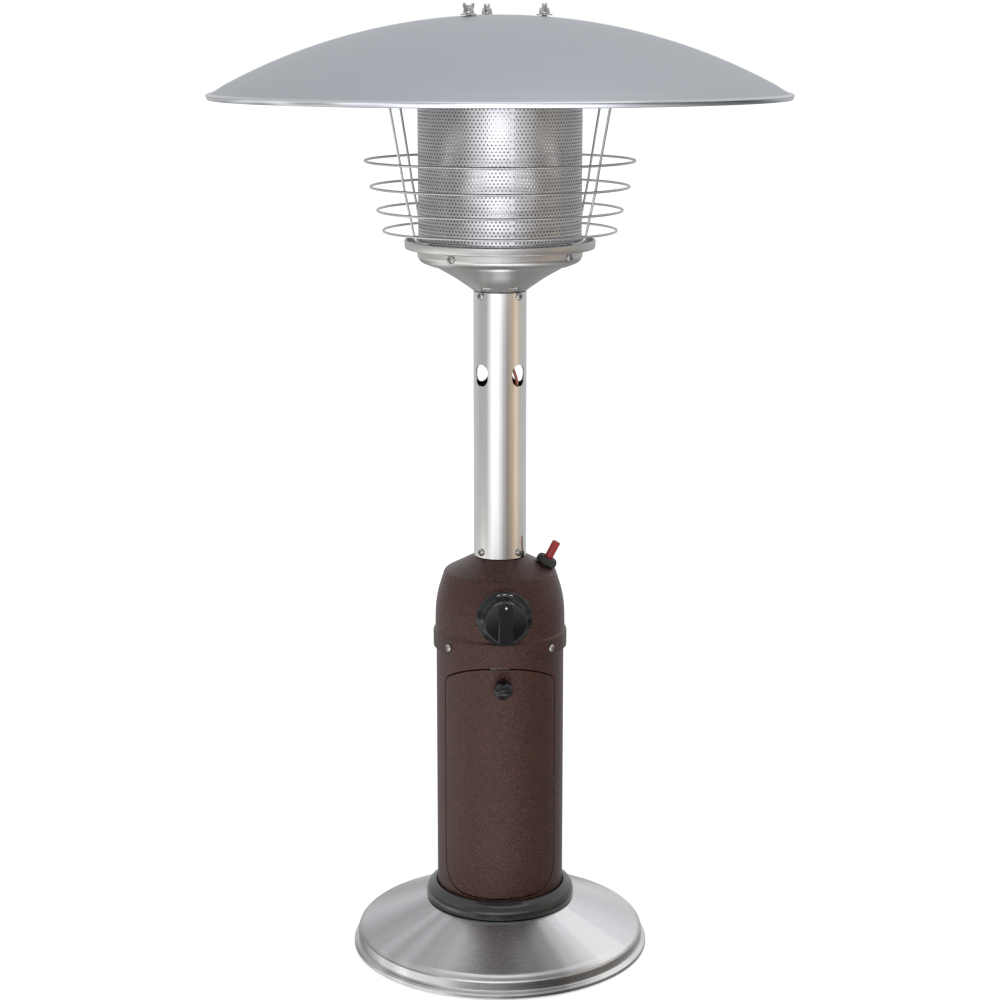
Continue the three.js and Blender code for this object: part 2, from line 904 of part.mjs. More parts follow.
headFunnel();
headPan();
headScrews();
emitterScreen();
emitterTop();
burnerCup();
mixerTube();
jet();
pilotBurner();
electrode();

wireGuard();
reflector();
reflectorFasteners();

export default heater;
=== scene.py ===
import bpy
import numpy as np
from math import radians, pi
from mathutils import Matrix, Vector


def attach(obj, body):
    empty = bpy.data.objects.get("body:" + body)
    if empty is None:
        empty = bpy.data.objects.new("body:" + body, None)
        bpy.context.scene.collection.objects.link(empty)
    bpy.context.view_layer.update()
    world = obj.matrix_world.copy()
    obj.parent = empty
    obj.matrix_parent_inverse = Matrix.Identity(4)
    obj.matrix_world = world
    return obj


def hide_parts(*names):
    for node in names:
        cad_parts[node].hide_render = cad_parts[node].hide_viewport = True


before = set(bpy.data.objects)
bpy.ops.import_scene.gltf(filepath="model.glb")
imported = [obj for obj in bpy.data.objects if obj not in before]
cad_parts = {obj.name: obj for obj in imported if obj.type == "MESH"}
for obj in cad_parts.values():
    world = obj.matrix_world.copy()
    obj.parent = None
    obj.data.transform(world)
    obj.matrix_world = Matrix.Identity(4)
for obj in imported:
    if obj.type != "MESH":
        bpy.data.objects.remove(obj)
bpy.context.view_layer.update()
print("frame loaded:", len(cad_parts), "nodes")

mm = 0.001
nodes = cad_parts


camera = {"lens": 79.0, "sensor": 36, "nearest": 0.05, "place": (0, -2.0799, 0.8957), "downTilt": 12.012}


def makeCamera():
    data = bpy.data.cameras.new("camera")
    data.lens = camera["lens"]
    data.sensor_width = camera["sensor"]
    data.clip_start = camera["nearest"]
    eye = bpy.data.objects.new("camera", data)
    eye.location = camera["place"]
    eye.rotation_euler = (radians(90 - camera["downTilt"]), 0, 0)
    bpy.context.collection.objects.link(eye)
    bpy.context.scene.camera = eye


makeCamera()


# quads of a grid of rows x columns; point (i, j) is number i * columns + j
def gridFaces(rows, columns, loopRows=False, loopColumns=False):
    i, j = np.meshgrid(np.arange(rows if loopRows else rows - 1),
                       np.arange(columns if loopColumns else columns - 1), indexing="ij")
    i, j = i.ravel(), j.ravel()
    up, right = (i + 1) % rows, (j + 1) % columns
    return np.stack([i * columns + j, i * columns + right, up * columns + right, up * columns + j], axis=1)


# a place by its angle from the front: x = radius sin(angle), y = -radius cos(angle), z = height
def polar(angle, radius, height):
    angle, radius, height = np.broadcast_arrays(angle, radius, height)
    return np.stack([radius * np.sin(angle), -radius * np.cos(angle), height], axis=-1)


# the same with the angle in degrees
def around(azimuth, radius, height):
    return polar(radians(azimuth), radius, height)


# so many equal steps of angle, once round
def roundSteps(count):
    return np.linspace(0, 2 * pi, count, endpoint=False)


# quads that close a wall along one edge: each runs from start to end on the outer face, and back
# along the inner face, whose points are numbered a whole face further on
def edgeStrip(start, end, face):
    return np.stack([start, end, end + face, start + face], axis=1)


# each corner of the line becomes a curve: (1-t)^2 before + 2t(1-t) corner + t^2 after
def softened(line, reach, steps=5, closed=False):
    line = np.asarray(line, float)
    count = len(line)
    before, after = np.roll(line, 1, axis=0), np.roll(line, -1, axis=0)
    inLength = np.linalg.norm(line - before, axis=1, keepdims=True)
    outLength = np.linalg.norm(after - line, axis=1, keepdims=True)
    reach = np.broadcast_to(np.asarray(reach, float).reshape(-1, 1), (count, 1))
    size = np.minimum(reach, 0.48 * np.minimum(inLength, outLength))
    start = line + (before - line) / np.maximum(inLength, 1e-9) * size
    end = line + (after - line) / np.maximum(outLength, 1e-9) * size
    t = np.linspace(0, 1, steps)[None, :, None]
    curve = (1 - t) ** 2 * start[:, None] + 2 * t * (1 - t) * line[:, None] + t ** 2 * end[:, None]
    if closed:
        return curve.reshape(-1, line.shape[1])
    middle = curve[1:-1].reshape(-1, line.shape[1])
    return np.concatenate([line[:1], middle, line[-1:]])


# a line gains a wall: the same line moved sideways, to its left, by the thickness
def walled(line, thickness):
    line = np.asarray(line, float)
    along = np.gradient(line, axis=0)
    along /= np.linalg.norm(along, axis=1, keepdims=True)
    side = np.stack([-along[:, 1], along[:, 0]], axis=1) * thickness
    return np.concatenate([line, (line + side)[::-1]])


# a circle's arc in the radius-height plane
def arcLine(centre, radius, start, end, steps):
    angle = np.radians(np.linspace(start, end, steps))
    return np.stack([centre[0] + radius * np.cos(angle), centre[1] + radius * np.sin(angle)], axis=1)


# twice the area inside an outline: the sum of x y' - x' y, above 0 when it runs anticlockwise
def twiceArea(outline):
    x, y = outline[:, 0], outline[:, 1]
    return (x * np.roll(y, -1) - np.roll(x, -1) * y).sum()


# every outline point (radius, height) goes round Z; an end on the axis becomes one pole point
def turned(outline, steps=128):
    outline = np.asarray(outline, float)
    poles = outline[0, 0] < 1e-6
    body = outline[1:-1] if poles else outline
    points = polar(roundSteps(steps), body[:, :1], body[:, 1:]).reshape(-1, 3)
    faces = gridFaces(len(body), steps, not poles, True).tolist()
    inward = twiceArea(outline) < 0
    if poles:
        ring = np.arange(steps)
        last = (len(body) - 1) * steps
        foot, tip = len(points), len(points) + 1
        points = np.concatenate([points, [[0, 0, outline[0, 1]], [0, 0, outline[-1, 1]]]])
        faces += np.stack([np.full(steps, foot), (ring + 1) % steps, ring], axis=1).tolist()
        faces += np.stack([np.full(steps, tip), last + ring, last + (ring + 1) % steps], axis=1).tolist()
    if inward:
        faces = [face[::-1] for face in faces]
    return points, faces


# a round section carried along a path; the section stands across the path's own direction
def swept(path, radius, reference, sides=12, closed=False):
    path = np.asarray(path, float)
    if closed:
        along = np.roll(path, -1, axis=0) - np.roll(path, 1, axis=0)
    else:
        along = np.gradient(path, axis=0)
    along /= np.linalg.norm(along, axis=1, keepdims=True)
    side = np.cross(along, np.asarray(reference, float))
    side /= np.linalg.norm(side, axis=1, keepdims=True)
    other = np.cross(along, side)
    angle = roundSteps(sides)[None, :, None]
    ring = side[:, None] * np.cos(angle) + other[:, None] * np.sin(angle)
    points = (path[:, None] + radius * ring).reshape(-1, 3)
    faces = gridFaces(len(path), sides, closed, True)[:, ::-1].tolist()
    if closed:
        return points, faces
    capA, capB = len(points), len(points) + 1
    points = np.concatenate([points, path[:1], path[-1:]])
    ring, last = np.arange(sides), (len(path) - 1) * sides
    faces += np.stack([np.full(sides, capA), ring, (ring + 1) % sides], axis=1).tolist()
    faces += np.stack([np.full(sides, capB), last + (ring + 1) % sides, last + ring], axis=1).tolist()
    return points, faces


# a smooth curve through a few places: each stretch is a cubic in t that leaves one place and arrives
# at the next, at each end parallel to the line between that place's two neighbours
def smoothPath(places, count):
    p = np.asarray(places, float)
    p = np.concatenate([[2 * p[0] - p[1]], p, [2 * p[-1] - p[-2]]])
    t = np.linspace(0, len(p) - 3 - 1e-9, count)
    k = t.astype(int)
    t = (t - k)[:, None]
    a, b, c, d = p[k], p[k + 1], p[k + 2], p[k + 3]
    square, cube = 2 * a - 5 * b + 4 * c - d, 3 * b - a - 3 * c + d
    return 0.5 * (2 * b + (c - a) * t + square * t ** 2 + cube * t ** 3)


# several shapes as one: each one's points are numbered on from those before it
def joined(*shapes):
    points, faces, start = [], [], 0
    for place, cells in shapes:
        points.append(np.asarray(place, float))
        faces += [[n + start for n in cell] for cell in cells]
        start += len(place)
    return np.concatenate(points), faces


# local x goes round, local y goes up, local z points away from the axis: with reach = radius + z,
# x becomes x cos + reach sin, and y becomes x sin - reach cos
def outward(shape, azimuth, radius, height):
    p = shape[0]
    a = radians(azimuth)
    reach = radius + p[:, 2]
    x = p[:, 0] * np.cos(a) + reach * np.sin(a)
    y = p[:, 0] * np.sin(a) - reach * np.cos(a)
    return np.stack([x, y, height + p[:, 1]], axis=1), shape[1]


# every point gains the place
def moved(shape, place):
    return shape[0] + np.asarray(place, float), shape[1]


# turned about Z by an angle, a point goes to (x cos - y sin, x sin + y cos)
def spun(shape, angle):
    p, a = shape[0], radians(angle)
    x = p[:, 0] * np.cos(a) - p[:, 1] * np.sin(a)
    y = p[:, 0] * np.sin(a) + p[:, 1] * np.cos(a)
    return np.stack([x, y, p[:, 2]], axis=1), shape[1]


# a flat outline (x, y) stands up along z; its ends are closed with one face each
def prism(outline, low, high):
    outline = np.asarray(outline, float)
    count = len(outline)
    outline = outline if twiceArea(outline) > 0 else outline[::-1]
    foot = np.column_stack([outline, np.full(count, low)])
    top = np.column_stack([outline, np.full(count, high)])
    n = np.arange(count)
    sides = np.stack([n, (n + 1) % count, (n + 1) % count + count, n + count], axis=1).tolist()
    return np.concatenate([foot, top]), sides + [n[::-1].tolist(), (n + count).tolist()]


# rings of points one above another become a closed rod, with one face at each end
def capped(points, rows, sides):
    n = np.arange(sides)
    ends = [n[::-1].tolist(), ((rows - 1) * sides + n).tolist()]
    return points, gridFaces(rows, sides, False, True).tolist() + ends


# the shape becomes a mesh in metres, rides on its body and stands for the nodes it replaces
def makePiece(name, shape, body, material, replaced=(), sharp=35, bevel=0):
    mesh = bpy.data.meshes.new(name)
    mesh.from_pydata((np.asarray(shape[0]) * mm).tolist(), [], shape[1])
    mesh.validate()
    mesh.polygons.foreach_set("use_smooth", np.ones(len(mesh.polygons), bool))
    piece = bpy.data.objects.new(name, mesh)
    bpy.context.collection.objects.link(piece)
    mesh.materials.append(material)
    if bevel:
        edge = piece.modifiers.new("edge", "BEVEL")
        edge.width, edge.segments, edge.limit_method = bevel * mm, 2, "ANGLE"
        edge.angle_limit = radians(30)
    mesh.set_sharp_from_angle(angle=radians(sharp))
    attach(piece, body)
    if replaced:
        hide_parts(*replaced)
    return piece


# what the tool shapes cover is taken out of the piece
def cutOut(piece, *shapes):
    points, faces = joined(*shapes)
    mesh = bpy.data.meshes.new("tool")
    mesh.from_pydata((points * mm).tolist(), [], faces)
    tool = bpy.data.objects.new("tool", mesh)
    bpy.context.collection.objects.link(tool)
    step = piece.modifiers.new("cut", "BOOLEAN")
    step.object, step.solver = tool, "EXACT"
    view = bpy.context.evaluated_depsgraph_get()
    result = bpy.data.meshes.new_from_object(piece.evaluated_get(view))
    piece.modifiers.remove(step)
    piece.data = result
    bpy.data.objects.remove(tool)
    result.set_sharp_from_angle(angle=radians(40))


# a node tree, with short ways to fill it
class Network:
    def __init__(self, tree):
        self.tree = tree

    def node(self, kind, **settings):
        made = self.tree.nodes.new(kind)
        for key, value in settings.items():
            setattr(made, key, value)
        return made

    def link(self, source, target):
        self.tree.links.new(source, target)

    # a socket is linked, anything else is set on the input itself
    def feed(self, source, target):
        if isinstance(source, bpy.types.NodeSocket):
            self.link(source, target)
        else:
            target.default_value = source

    def math(self, operation, *sources):
        made = self.node("ShaderNodeMath", operation=operation)
        for source, target in zip(sources, made.inputs):
            self.feed(source, target)
        return made.outputs["Value"]

    # (x, y, z) and the angle from the front, which is the arctangent of x over -y
    def split(self, place):
        apart = self.node("ShaderNodeSeparateXYZ")
        self.link(place, apart.inputs["Vector"])
        x, y, z = [apart.outputs[axis] for axis in "XYZ"]
        return x, y, z, self.math("ARCTAN2", x, self.math("MULTIPLY", y, -1))

    # a range of values stretched onto another
    def spread(self, source, low, high, fromLow=0.0, fromHigh=1.0, easing="LINEAR"):
        span = self.node("ShaderNodeMapRange", interpolation_type=easing)
        for name, value in (("From Min", fromLow), ("From Max", fromHigh), ("To Min", low), ("To Max", high)):
            span.inputs[name].default_value = value
        self.link(source, span.inputs["Value"])
        return span.outputs["Result"]

    # two colours as one: the share of the second, or their product when the way is to multiply
    def mixed(self, share, first, second, way="MIX"):
        mix = self.node("ShaderNodeMix", data_type="RGBA", blend_type=way)
        colors = [socket for socket in mix.inputs if socket.type == "RGBA"]
        for source, target in zip((share, first, second), (mix.inputs["Factor"], *colors)):
            self.feed(source, target)
        return [socket for socket in mix.outputs if socket.type == "RGBA"][0]

    # colours against the angle from the front: stops of (degrees, colour), eased from one to the next
    def angleColors(self, angle, stops):
        ramp = self.node("ShaderNodeValToRGB")
        ramp.color_ramp.interpolation = "EASE"
        points = ramp.color_ramp.elements
        while len(points) < len(stops):
            points.new(0.5)
        for point, (degrees, color) in zip(points, stops):
            point.position = degrees / 360 + 0.5
            point.color = (*color, 1)
        self.link(self.spread(angle, 0, 1, -pi, pi), ramp.inputs["Fac"])
        return ramp.outputs["Color"]


# a material for one finish; the sockets given are set on the shader itself
class Finish(Network):
    def __init__(self, name, **sockets):
        self.material = bpy.data.materials.new(name)
        self.material.use_nodes = True
        super().__init__(self.material.node_tree)
        self.shader = self.tree.nodes["Principled BSDF"]
        for socket, value in sockets.items():
            self.shader.inputs[socket.replace("_", " ")].default_value = value
        self.place = self.node("ShaderNodeTexCoord").outputs["Object"]

    # noise on the piece's own coordinates, stretched by a scale for each axis
    def noise(self, scale, stretch=(1, 1, 1), detail=3, roughness=0.55, place=None):
        mapping = self.node("ShaderNodeMapping")
        mapping.inputs["Scale"].default_value = stretch
        self.link(place or self.place, mapping.inputs["Vector"])
        noise = self.node("ShaderNodeTexNoise")
        for name, value in (("Scale", scale), ("Detail", detail), ("Roughness", roughness)):
            noise.inputs[name].default_value = value
        self.link(mapping.outputs["Vector"], noise.inputs["Vector"])
        return noise.outputs["Fac"]

    # coordinates (radius, angle from the front, height) for marks that run round the Z axis;
    # the radius is sqrt(x^2 + y^2)
    def ringPlace(self):
        x, y, z, angle = self.split(self.place)
        radius = self.math("SQRT", self.math("ADD", self.math("MULTIPLY", x, x), self.math("MULTIPLY", y, y)))
        together = self.node("ShaderNodeCombineXYZ")
        for source, target in zip((radius, angle, z), together.inputs):
            self.link(source, target)
        return together.outputs["Vector"]

    # one plain colour fading into another by the share
    def blended(self, share, dark, light):
        return self.mixed(share, (*dark, 1), (*light, 1))

    # the sheen of brushed metal is drawn out across marks that run round the Z axis
    def brushedRound(self):
        tangent = self.node("ShaderNodeTangent", direction_type="RADIAL", axis="Z")
        self.link(tangent.outputs["Tangent"], self.shader.inputs["Tangent"])

    def color(self, source):
        self.link(source, self.shader.inputs["Base Color"])

    def rough(self, source):
        self.link(source, self.shader.inputs["Roughness"])

    def bump(self, source, strength, distance):
        bump = self.node("ShaderNodeBump")
        bump.inputs["Strength"].default_value = strength
        bump.inputs["Distance"].default_value = distance
        self.link(source, bump.inputs["Height"])
        for target in ("Normal", "Coat Normal"):
            self.link(bump.outputs["Normal"], self.shader.inputs[target])


# screen colour to light: (c + 0.055) / 1.055 to the power 2.4, and c / 12.92 near black
def srgb(r, g, b):
    c = np.array([r, g, b]) / 255
    return tuple(np.where(c <= 0.04045, c / 12.92, ((c + 0.055) / 1.055) ** 2.4))


# hammered bronze paint: small rounded grains under a clear gloss; the grains are a little lighter
def hammeredPaint():
    f = Finish("hammeredBronze", Metallic=0.5, Specular_IOR_Level=0.1, Coat_Weight=0.58, Coat_Roughness=0.24,
               Coat_IOR=1.6)
    grain = f.noise(860, detail=1, roughness=0.4)
    drift = f.noise(26, detail=3)
    both = f.math("MULTIPLY_ADD", drift, 0.35, f.spread(grain, 0, 0.75, 0.38, 0.62))
    f.color(f.blended(both, srgb(36, 13, 8), srgb(86, 46, 33)))
    f.rough(f.spread(drift, 0.32, 0.44))
    f.bump(grain, 0.8, 0.0009)
    return f.material


# fine marks that run round the axis: noise drawn out along the angle
def ringMarks(f, scale):
    return f.noise(scale, (1, 0.004, 1), 4, 0.6, f.ringPlace())


# brushed base: ring marks, and soft fans of painted sheen, a painted reflection that is lighter and darker
# against the angle in the base colour; fans are (degrees from the front, tone)
def brushedWithPaintedSheen(fans, grainShare=0.3, gain=1.32):
    f = Finish("baseBrushedPaintedSheen", Metallic=1.0, Anisotropic=0.65)
    marks = ringMarks(f, 1400)
    angle = f.split(f.place)[3]
    # painted sheen: the fans of light and dark are painted into the colour, fixed to the heater, not made by
    # the lamps
    sheen = f.angleColors(angle, [(degrees, srgb(tone, tone, tone + 1)) for degrees, tone in fans])
    grained = f.mixed(grainShare, sheen, marks, "MULTIPLY")
    f.color(f.mixed(1, grained, (gain, gain, gain, 1), "MULTIPLY"))
    f.rough(f.spread(marks, 0.2, 0.34))
    f.bump(marks, 0.1, 0.0002)
    f.brushedRound()
    return f.material


# metal with fine marks running round the axis
def roundBrushed(name, tone, low, high, scale, strength):
    f = Finish(name, Metallic=1.0)
    marks = ringMarks(f, scale)
    f.color(f.blended(marks, tuple(0.86 * t for t in tone), tone))
    f.rough(f.spread(marks, low, high))
    f.bump(marks, strength, 0.0002)
    return f.material


# tube polished along its length: faint long scratches, near mirror
def polishedTube():
    f = Finish("polishedTube", Metallic=1.0)
    marks = f.noise(900, (1, 1, 0.01), 3)
    smears = f.noise(30, (1, 1, 0.4), 3)
    f.color(f.blended(smears, srgb(228, 228, 228), srgb(244, 244, 244)))
    f.rough(f.spread(marks, 0.08, 0.16))
    f.bump(marks, 0.03, 0.0001)
    return f.material


# slight colour drift, and grain in the roughness and the relief
def grained(f, dark, light, low, high, grain, drift, strength):
    f.color(f.blended(drift, dark, light))
    f.rough(f.spread(grain, low, high))
    f.bump(grain, strength, 0.0002)
    return f.material


def plainMetal(name, dark, light, low, high, scale=700, strength=0.08):
    f = Finish(name, Metallic=1.0)
    return grained(f, dark, light, low, high, f.noise(scale, detail=4), f.noise(60, detail=2), strength)


def moulded(name, dark, light, low, high, scale, strength, coat=0.0):
    f = Finish(name, Metallic=0.0, Coat_Weight=coat)
    return grained(f, dark, light, low, high, f.noise(scale, detail=3), f.noise(90, detail=2), strength)


bronze = hammeredPaint()
# the base's tones are painted sheen: fans of painted reflection, lighter and darker round the base
baseSteel = brushedWithPaintedSheen([(-180, 196), (-150, 220), (-120, 176), (-92, 200), (-70, 168), (-60, 176), (-54, 192),
                        (-48, 172), (-41, 190), (-36, 174), (-30, 182), (-21, 204), (-14, 206), (-3, 190),
                        (8, 180), (16, 156), (24, 160), (31, 198), (40, 226), (48, 255), (56, 250),
                        (64, 228), (90, 214), (115, 232), (140, 184), (180, 196)])
dishSteel = roundBrushed("dishSatin", srgb(196, 200, 205), 0.42, 0.55, 900, 0.04)
rimSteel = roundBrushed("rimRolled", srgb(214, 217, 222), 0.16, 0.26, 700, 0.04)
headSteel = roundBrushed("headSatin", srgb(222, 221, 219), 0.26, 0.4, 1200, 0.05)
emitterSteel = plainMetal("emitterSheet", srgb(204, 204, 207), srgb(226, 226, 229), 0.22, 0.34)
tubeSteel = polishedTube()
wireSteel = plainMetal("guardWire", srgb(206, 206, 208), srgb(228, 228, 230), 0.24, 0.36)
zinc = plainMetal("zincPlate", srgb(176, 176, 176), srgb(212, 212, 210), 0.2, 0.38)
brass = plainMetal("brass", srgb(168, 132, 70), srgb(198, 164, 98), 0.26, 0.42)
copper = plainMetal("copper", srgb(160, 92, 60), srgb(190, 118, 82), 0.24, 0.4)
aluminium = plainMetal("drawnAluminium", srgb(176, 178, 180), srgb(204, 205, 207), 0.28, 0.42)
castIron = moulded("castIron", srgb(40, 40, 42), srgb(62, 62, 64), 0.6, 0.85, 500, 0.5)
collarPaint = moulded("collarPaint", srgb(34, 35, 34), srgb(48, 49, 47), 0.16, 0.26, 1200, 0.06, 0.4)
glossBlack = moulded("glossBlack", srgb(9, 10, 13), srgb(16, 18, 22), 0.14, 0.24, 1500, 0.03)
mattBlack = moulded("mattBlack", srgb(34, 36, 30), srgb(52, 54, 46), 0.42, 0.58, 1500, 0.1)
redPlastic = moulded("redPlastic", srgb(146, 20, 30), srgb(172, 32, 42), 0.26, 0.4, 1400, 0.05, 0.15)
rubber = moulded("rubber", srgb(24, 24, 24), srgb(36, 36, 36), 0.7, 0.9, 900, 0.25)
ceramic = moulded("ceramic", srgb(222, 216, 202), srgb(240, 236, 226), 0.25, 0.4, 600, 0.05)
jacket = moulded("wireJacket", srgb(150, 84, 70), srgb(186, 118, 100), 0.4, 0.55, 900, 0.05)
whiteInk = moulded("whiteInk", srgb(225, 226, 228), srgb(245, 245, 245), 0.35, 0.5, 900, 0.03)
print("finishes made")


base = {"hem": 146.5, "band": 142, "shoulder": (138, 22), "top": (74, 48.5), "hole": 14, "sheet": 1.4}
ballast = {"foot": 4, "radius": 136, "edge": 11.5, "rise": (50, 13.5), "hub": 42, "gap": 0.35}
footRing = {"inner": 112, "outer": 130, "height": 3.65}
collar = {"outer": 73.5, "inner": 63, "top": 65.6, "foot": 48.85}


def makeBase():
    topHeight = base["top"][1]
    line = [(base["hem"], 1.4), (base["hem"], 5.5), (base["band"], 6.6),
            (base["band"], base["shoulder"][1] - 4.6), base["shoulder"], base["top"],
            (base["hole"], topHeight)]
    soft = softened(line, [1, 1.6, 1.2, 3, 3.4, 1.4, 1], 6)
    makePiece("base_shell_skin", turned(walled(soft, base["sheet"]), 256), "heater", baseSteel,
              ["base_shell"])
    hub = topHeight - base["sheet"] - ballast["gap"]
    plate = [(0, ballast["foot"]), (ballast["radius"], ballast["foot"]), (ballast["radius"], ballast["edge"]),
             ballast["rise"], (ballast["hub"], hub), (0, hub)]
    makePiece("ballast_casting", turned(softened(plate, 2, 4), 128), "heater", castIron,
              ["ballast_plate"])
    foot = [(footRing["inner"], 0), (footRing["outer"], 0), (footRing["outer"], footRing["height"]),
            (footRing["inner"], footRing["height"])]
    makePiece("foot_ring_rubber", turned(softened(foot, 1.2, 4, True), 160), "heater", rubber,
              ["foot_ring"])
    ring = [(collar["inner"], collar["foot"]), (collar["outer"], collar["foot"]), (collar["outer"], 57),
            (71, 62.2), (collar["outer"] - 8, collar["top"]), (collar["inner"], collar["top"])]
    makePiece("base_collar_ring", turned(softened(ring, [0.4, 1.6, 5, 4, 3.5, 1.2], 7, True), 192), "heater",
              collarPaint, ["base_collar"])


makeBase()
print("base made")


tube = {"outer": 62.4, "wall": 1.6, "bottom": 48.85, "top": 323.8}
door = {"half": 63.2, "bottom": 67.4, "top": 300.5, "arch": 125, "topCorner": 6, "lowCorner": 26,
        "rise": 0.0013, "gap": 1.2, "columns": 97}
tab = {"half": 7, "inner": 59.2, "outer": 60.4, "bottom": 55, "top": 71.5, "aside": 22}
floorPlate = {"radius": 60.45, "bottom": 48.85, "sheet": 1.65, "lip": 1.4, "lipTop": 51.7}


# the door's top edge: a wide arch, less a quarter circle past each corner
def doorTop(u, grow):
    corner = door["topCorner"] + grow
    past = np.maximum(np.abs(u) - (door["half"] + grow - corner), 0)
    arch = door["arch"] - np.sqrt(door["arch"] ** 2 - u ** 2)
    return door["top"] + grow - arch - (corner - np.sqrt(np.maximum(corner ** 2 - past ** 2, 0)))


# the door's bottom edge: a shallow bowl, and a quarter circle past each corner
def doorBottom(u, grow):
    corner = door["lowCorner"] + grow
    past = np.maximum(np.abs(u) - (door["half"] + grow - corner), 0)
    bowl = door["bottom"] - grow + door["rise"] * u ** 2
    return bowl + (corner - np.sqrt(np.maximum(corner ** 2 - past ** 2, 0)))


# columns from -half to half, closer together near the ends: half * sin(pi/2 * t), eased
def doorColumns(half, count):
    t = np.linspace(-1, 1, count)
    return half * (0.35 * t + 0.65 * np.sin(pi / 2 * t))


# u is measured round the tube's outer face, so the angle is u over that face's radius
def wallPoints(u, z, radius):
    return polar(u / tube["outer"], radius, z).reshape(-1, 3)


# the lower tube: columns go round it, first the door's, then the back's; rows go up in three parts,
# to the door's lower edge, to its upper edge and to the top, each a share of the way; the cells
# between the door's edges are left out
def housingShape():
    grow = door["gap"]
    half = door["half"] + grow
    doorCount = door["columns"]
    uBack = np.linspace(half, 2 * pi * tube["outer"] - half, 122)[1:-1]
    u = np.concatenate([doorColumns(half, doorCount), uBack])
    inDoor = np.arange(len(u)) < doorCount
    low = np.where(inDoor, doorBottom(np.clip(u, -half, half), grow), doorBottom(half, grow))
    high = np.where(inDoor, doorTop(np.clip(u, -half, half), grow), doorTop(half, grow))
    rowsEnd, rowsMiddle = 7, 19
    end, middle = [np.linspace(0, 1, count)[:, None] for count in (rowsEnd, rowsMiddle)]
    z = np.concatenate([tube["bottom"] + (low - tube["bottom"]) * end, low + (high - low) * middle[1:-1],
                        high + (tube["top"] - high) * end])
    rows, columns = z.shape
    wide = np.broadcast_to(u, z.shape)
    outer, inner = [wallPoints(wide, z, radius) for radius in (tube["outer"], tube["outer"] - tube["wall"])]
    sill, lintel = rowsEnd - 1, rows - rowsEnd  # the rows along the door's two edges
    quads = gridFaces(rows, columns, False, True)
    row, column = quads[:, 0] // columns, quads[:, 0] % columns
    quads = quads[~((row >= sill) & (row < lintel) & (column < doorCount - 1))]
    count = rows * columns
    j = np.arange(columns)
    right, last = (j + 1) % columns, (rows - 1) * columns
    d, a, b = np.arange(doorCount - 1), sill * columns, lintel * columns
    left = np.arange(sill, lintel) * columns
    far = left + doorCount - 1
    faces = [quads, quads[:, ::-1] + count, edgeStrip(right, j, count),
             edgeStrip(last + j, last + right, count), edgeStrip(a + d, a + d + 1, count),
             edgeStrip(b + d + 1, b + d, count), edgeStrip(left, left + columns, count)[:, ::-1],
             edgeStrip(far, far + columns, count)]
    return np.concatenate([outer, inner]), np.concatenate(faces).tolist()


# a curved plate on the tube, between two edges that are heights against u; rows are eased by a cosine
def panelShape(half, inner, outer, lowEdge, highEdge, columns=door["columns"], rows=25, centre=0.0):
    u = doorColumns(half, columns)
    share = 0.5 - 0.5 * np.cos(pi * np.linspace(0, 1, rows))
    share = (0.5 * share + 0.5 * np.linspace(0, 1, rows))[:, None]
    z = lowEdge(u) + (highEdge(u) - lowEdge(u)) * share
    wide = np.broadcast_to(u + centre, z.shape)
    quads = gridFaces(rows, columns)
    count = rows * columns
    j, left = np.arange(columns - 1), np.arange(rows - 1) * columns
    last, right = (rows - 1) * columns, left + columns - 1
    faces = [quads, quads[:, ::-1] + count, edgeStrip(j + 1, j, count),
             edgeStrip(last + j, last + j + 1, count), edgeStrip(left, left + columns, count),
             edgeStrip(right + columns, right, count)]
    return (np.concatenate([wallPoints(wide, z, radius) for radius in (outer, inner)]),
            np.concatenate(faces).tolist())


def makeBottleHousing():
    makePiece("cylinder_housing_wall", housingShape(), "heater", bronze, ["cylinder_housing"],
              40, 0.35)
    shape = panelShape(door["half"], tube["outer"] - tube["wall"], tube["outer"],
                       lambda u: doorBottom(u, 0), lambda u: doorTop(u, 0))
    makePiece("door_skin", shape, "bottle_door", bronze, ["door"], 40, 0.45)
    tabs = [panelShape(tab["half"], tab["inner"], tab["outer"], lambda u: tab["bottom"] + 0 * u,
                       lambda u: tab["top"] + 0 * u, 9, 5, side * tab["aside"]) for side in (-1, 1)]
    makePiece("door_tabs", joined(*tabs), "bottle_door", bronze, [], 40, 0.3)
    radius, bottom = floorPlate["radius"], floorPlate["bottom"]
    sheetTop = bottom + floorPlate["sheet"]
    floor = [(0, bottom), (radius, bottom), (radius, floorPlate["lipTop"]),
             (radius - floorPlate["lip"], floorPlate["lipTop"]), (radius - floorPlate["lip"], sheetTop),
             (0, sheetTop)]
    makePiece("housing_floor_plate", turned(softened(floor, 0.5, 3), 128), "heater", zinc,
              ["housing_floor"])


makeBottleHousing()
print("bottle housing and door made")


cover = {"skirt": 65.3, "bottom": 310, "sheet": 1.5}
neckRadius = 24.05


def makeValveHousing():
    line = [(cover["skirt"], cover["bottom"]), (cover["skirt"], 325.2), (63.4, 327.2), (63, 349), (60.7, 364),
            (54.2, 384.4), (26.2, 398.9), (neckRadius, 399.6), (neckRadius, 412)]
    soft = softened(line, [1, 1, 1, 9, 9, 2.2, 0.8, 0.4, 1], 7)
    makePiece("valve_housing_skin", turned(walled(soft, cover["sheet"]), 256), "heater", bronze,
              ["valve_housing"], 50)


makeValveHousing()


cross = {"width": 0.17, "reach": 0.56, "depth": 0.62}  # shares of the head's radius and height


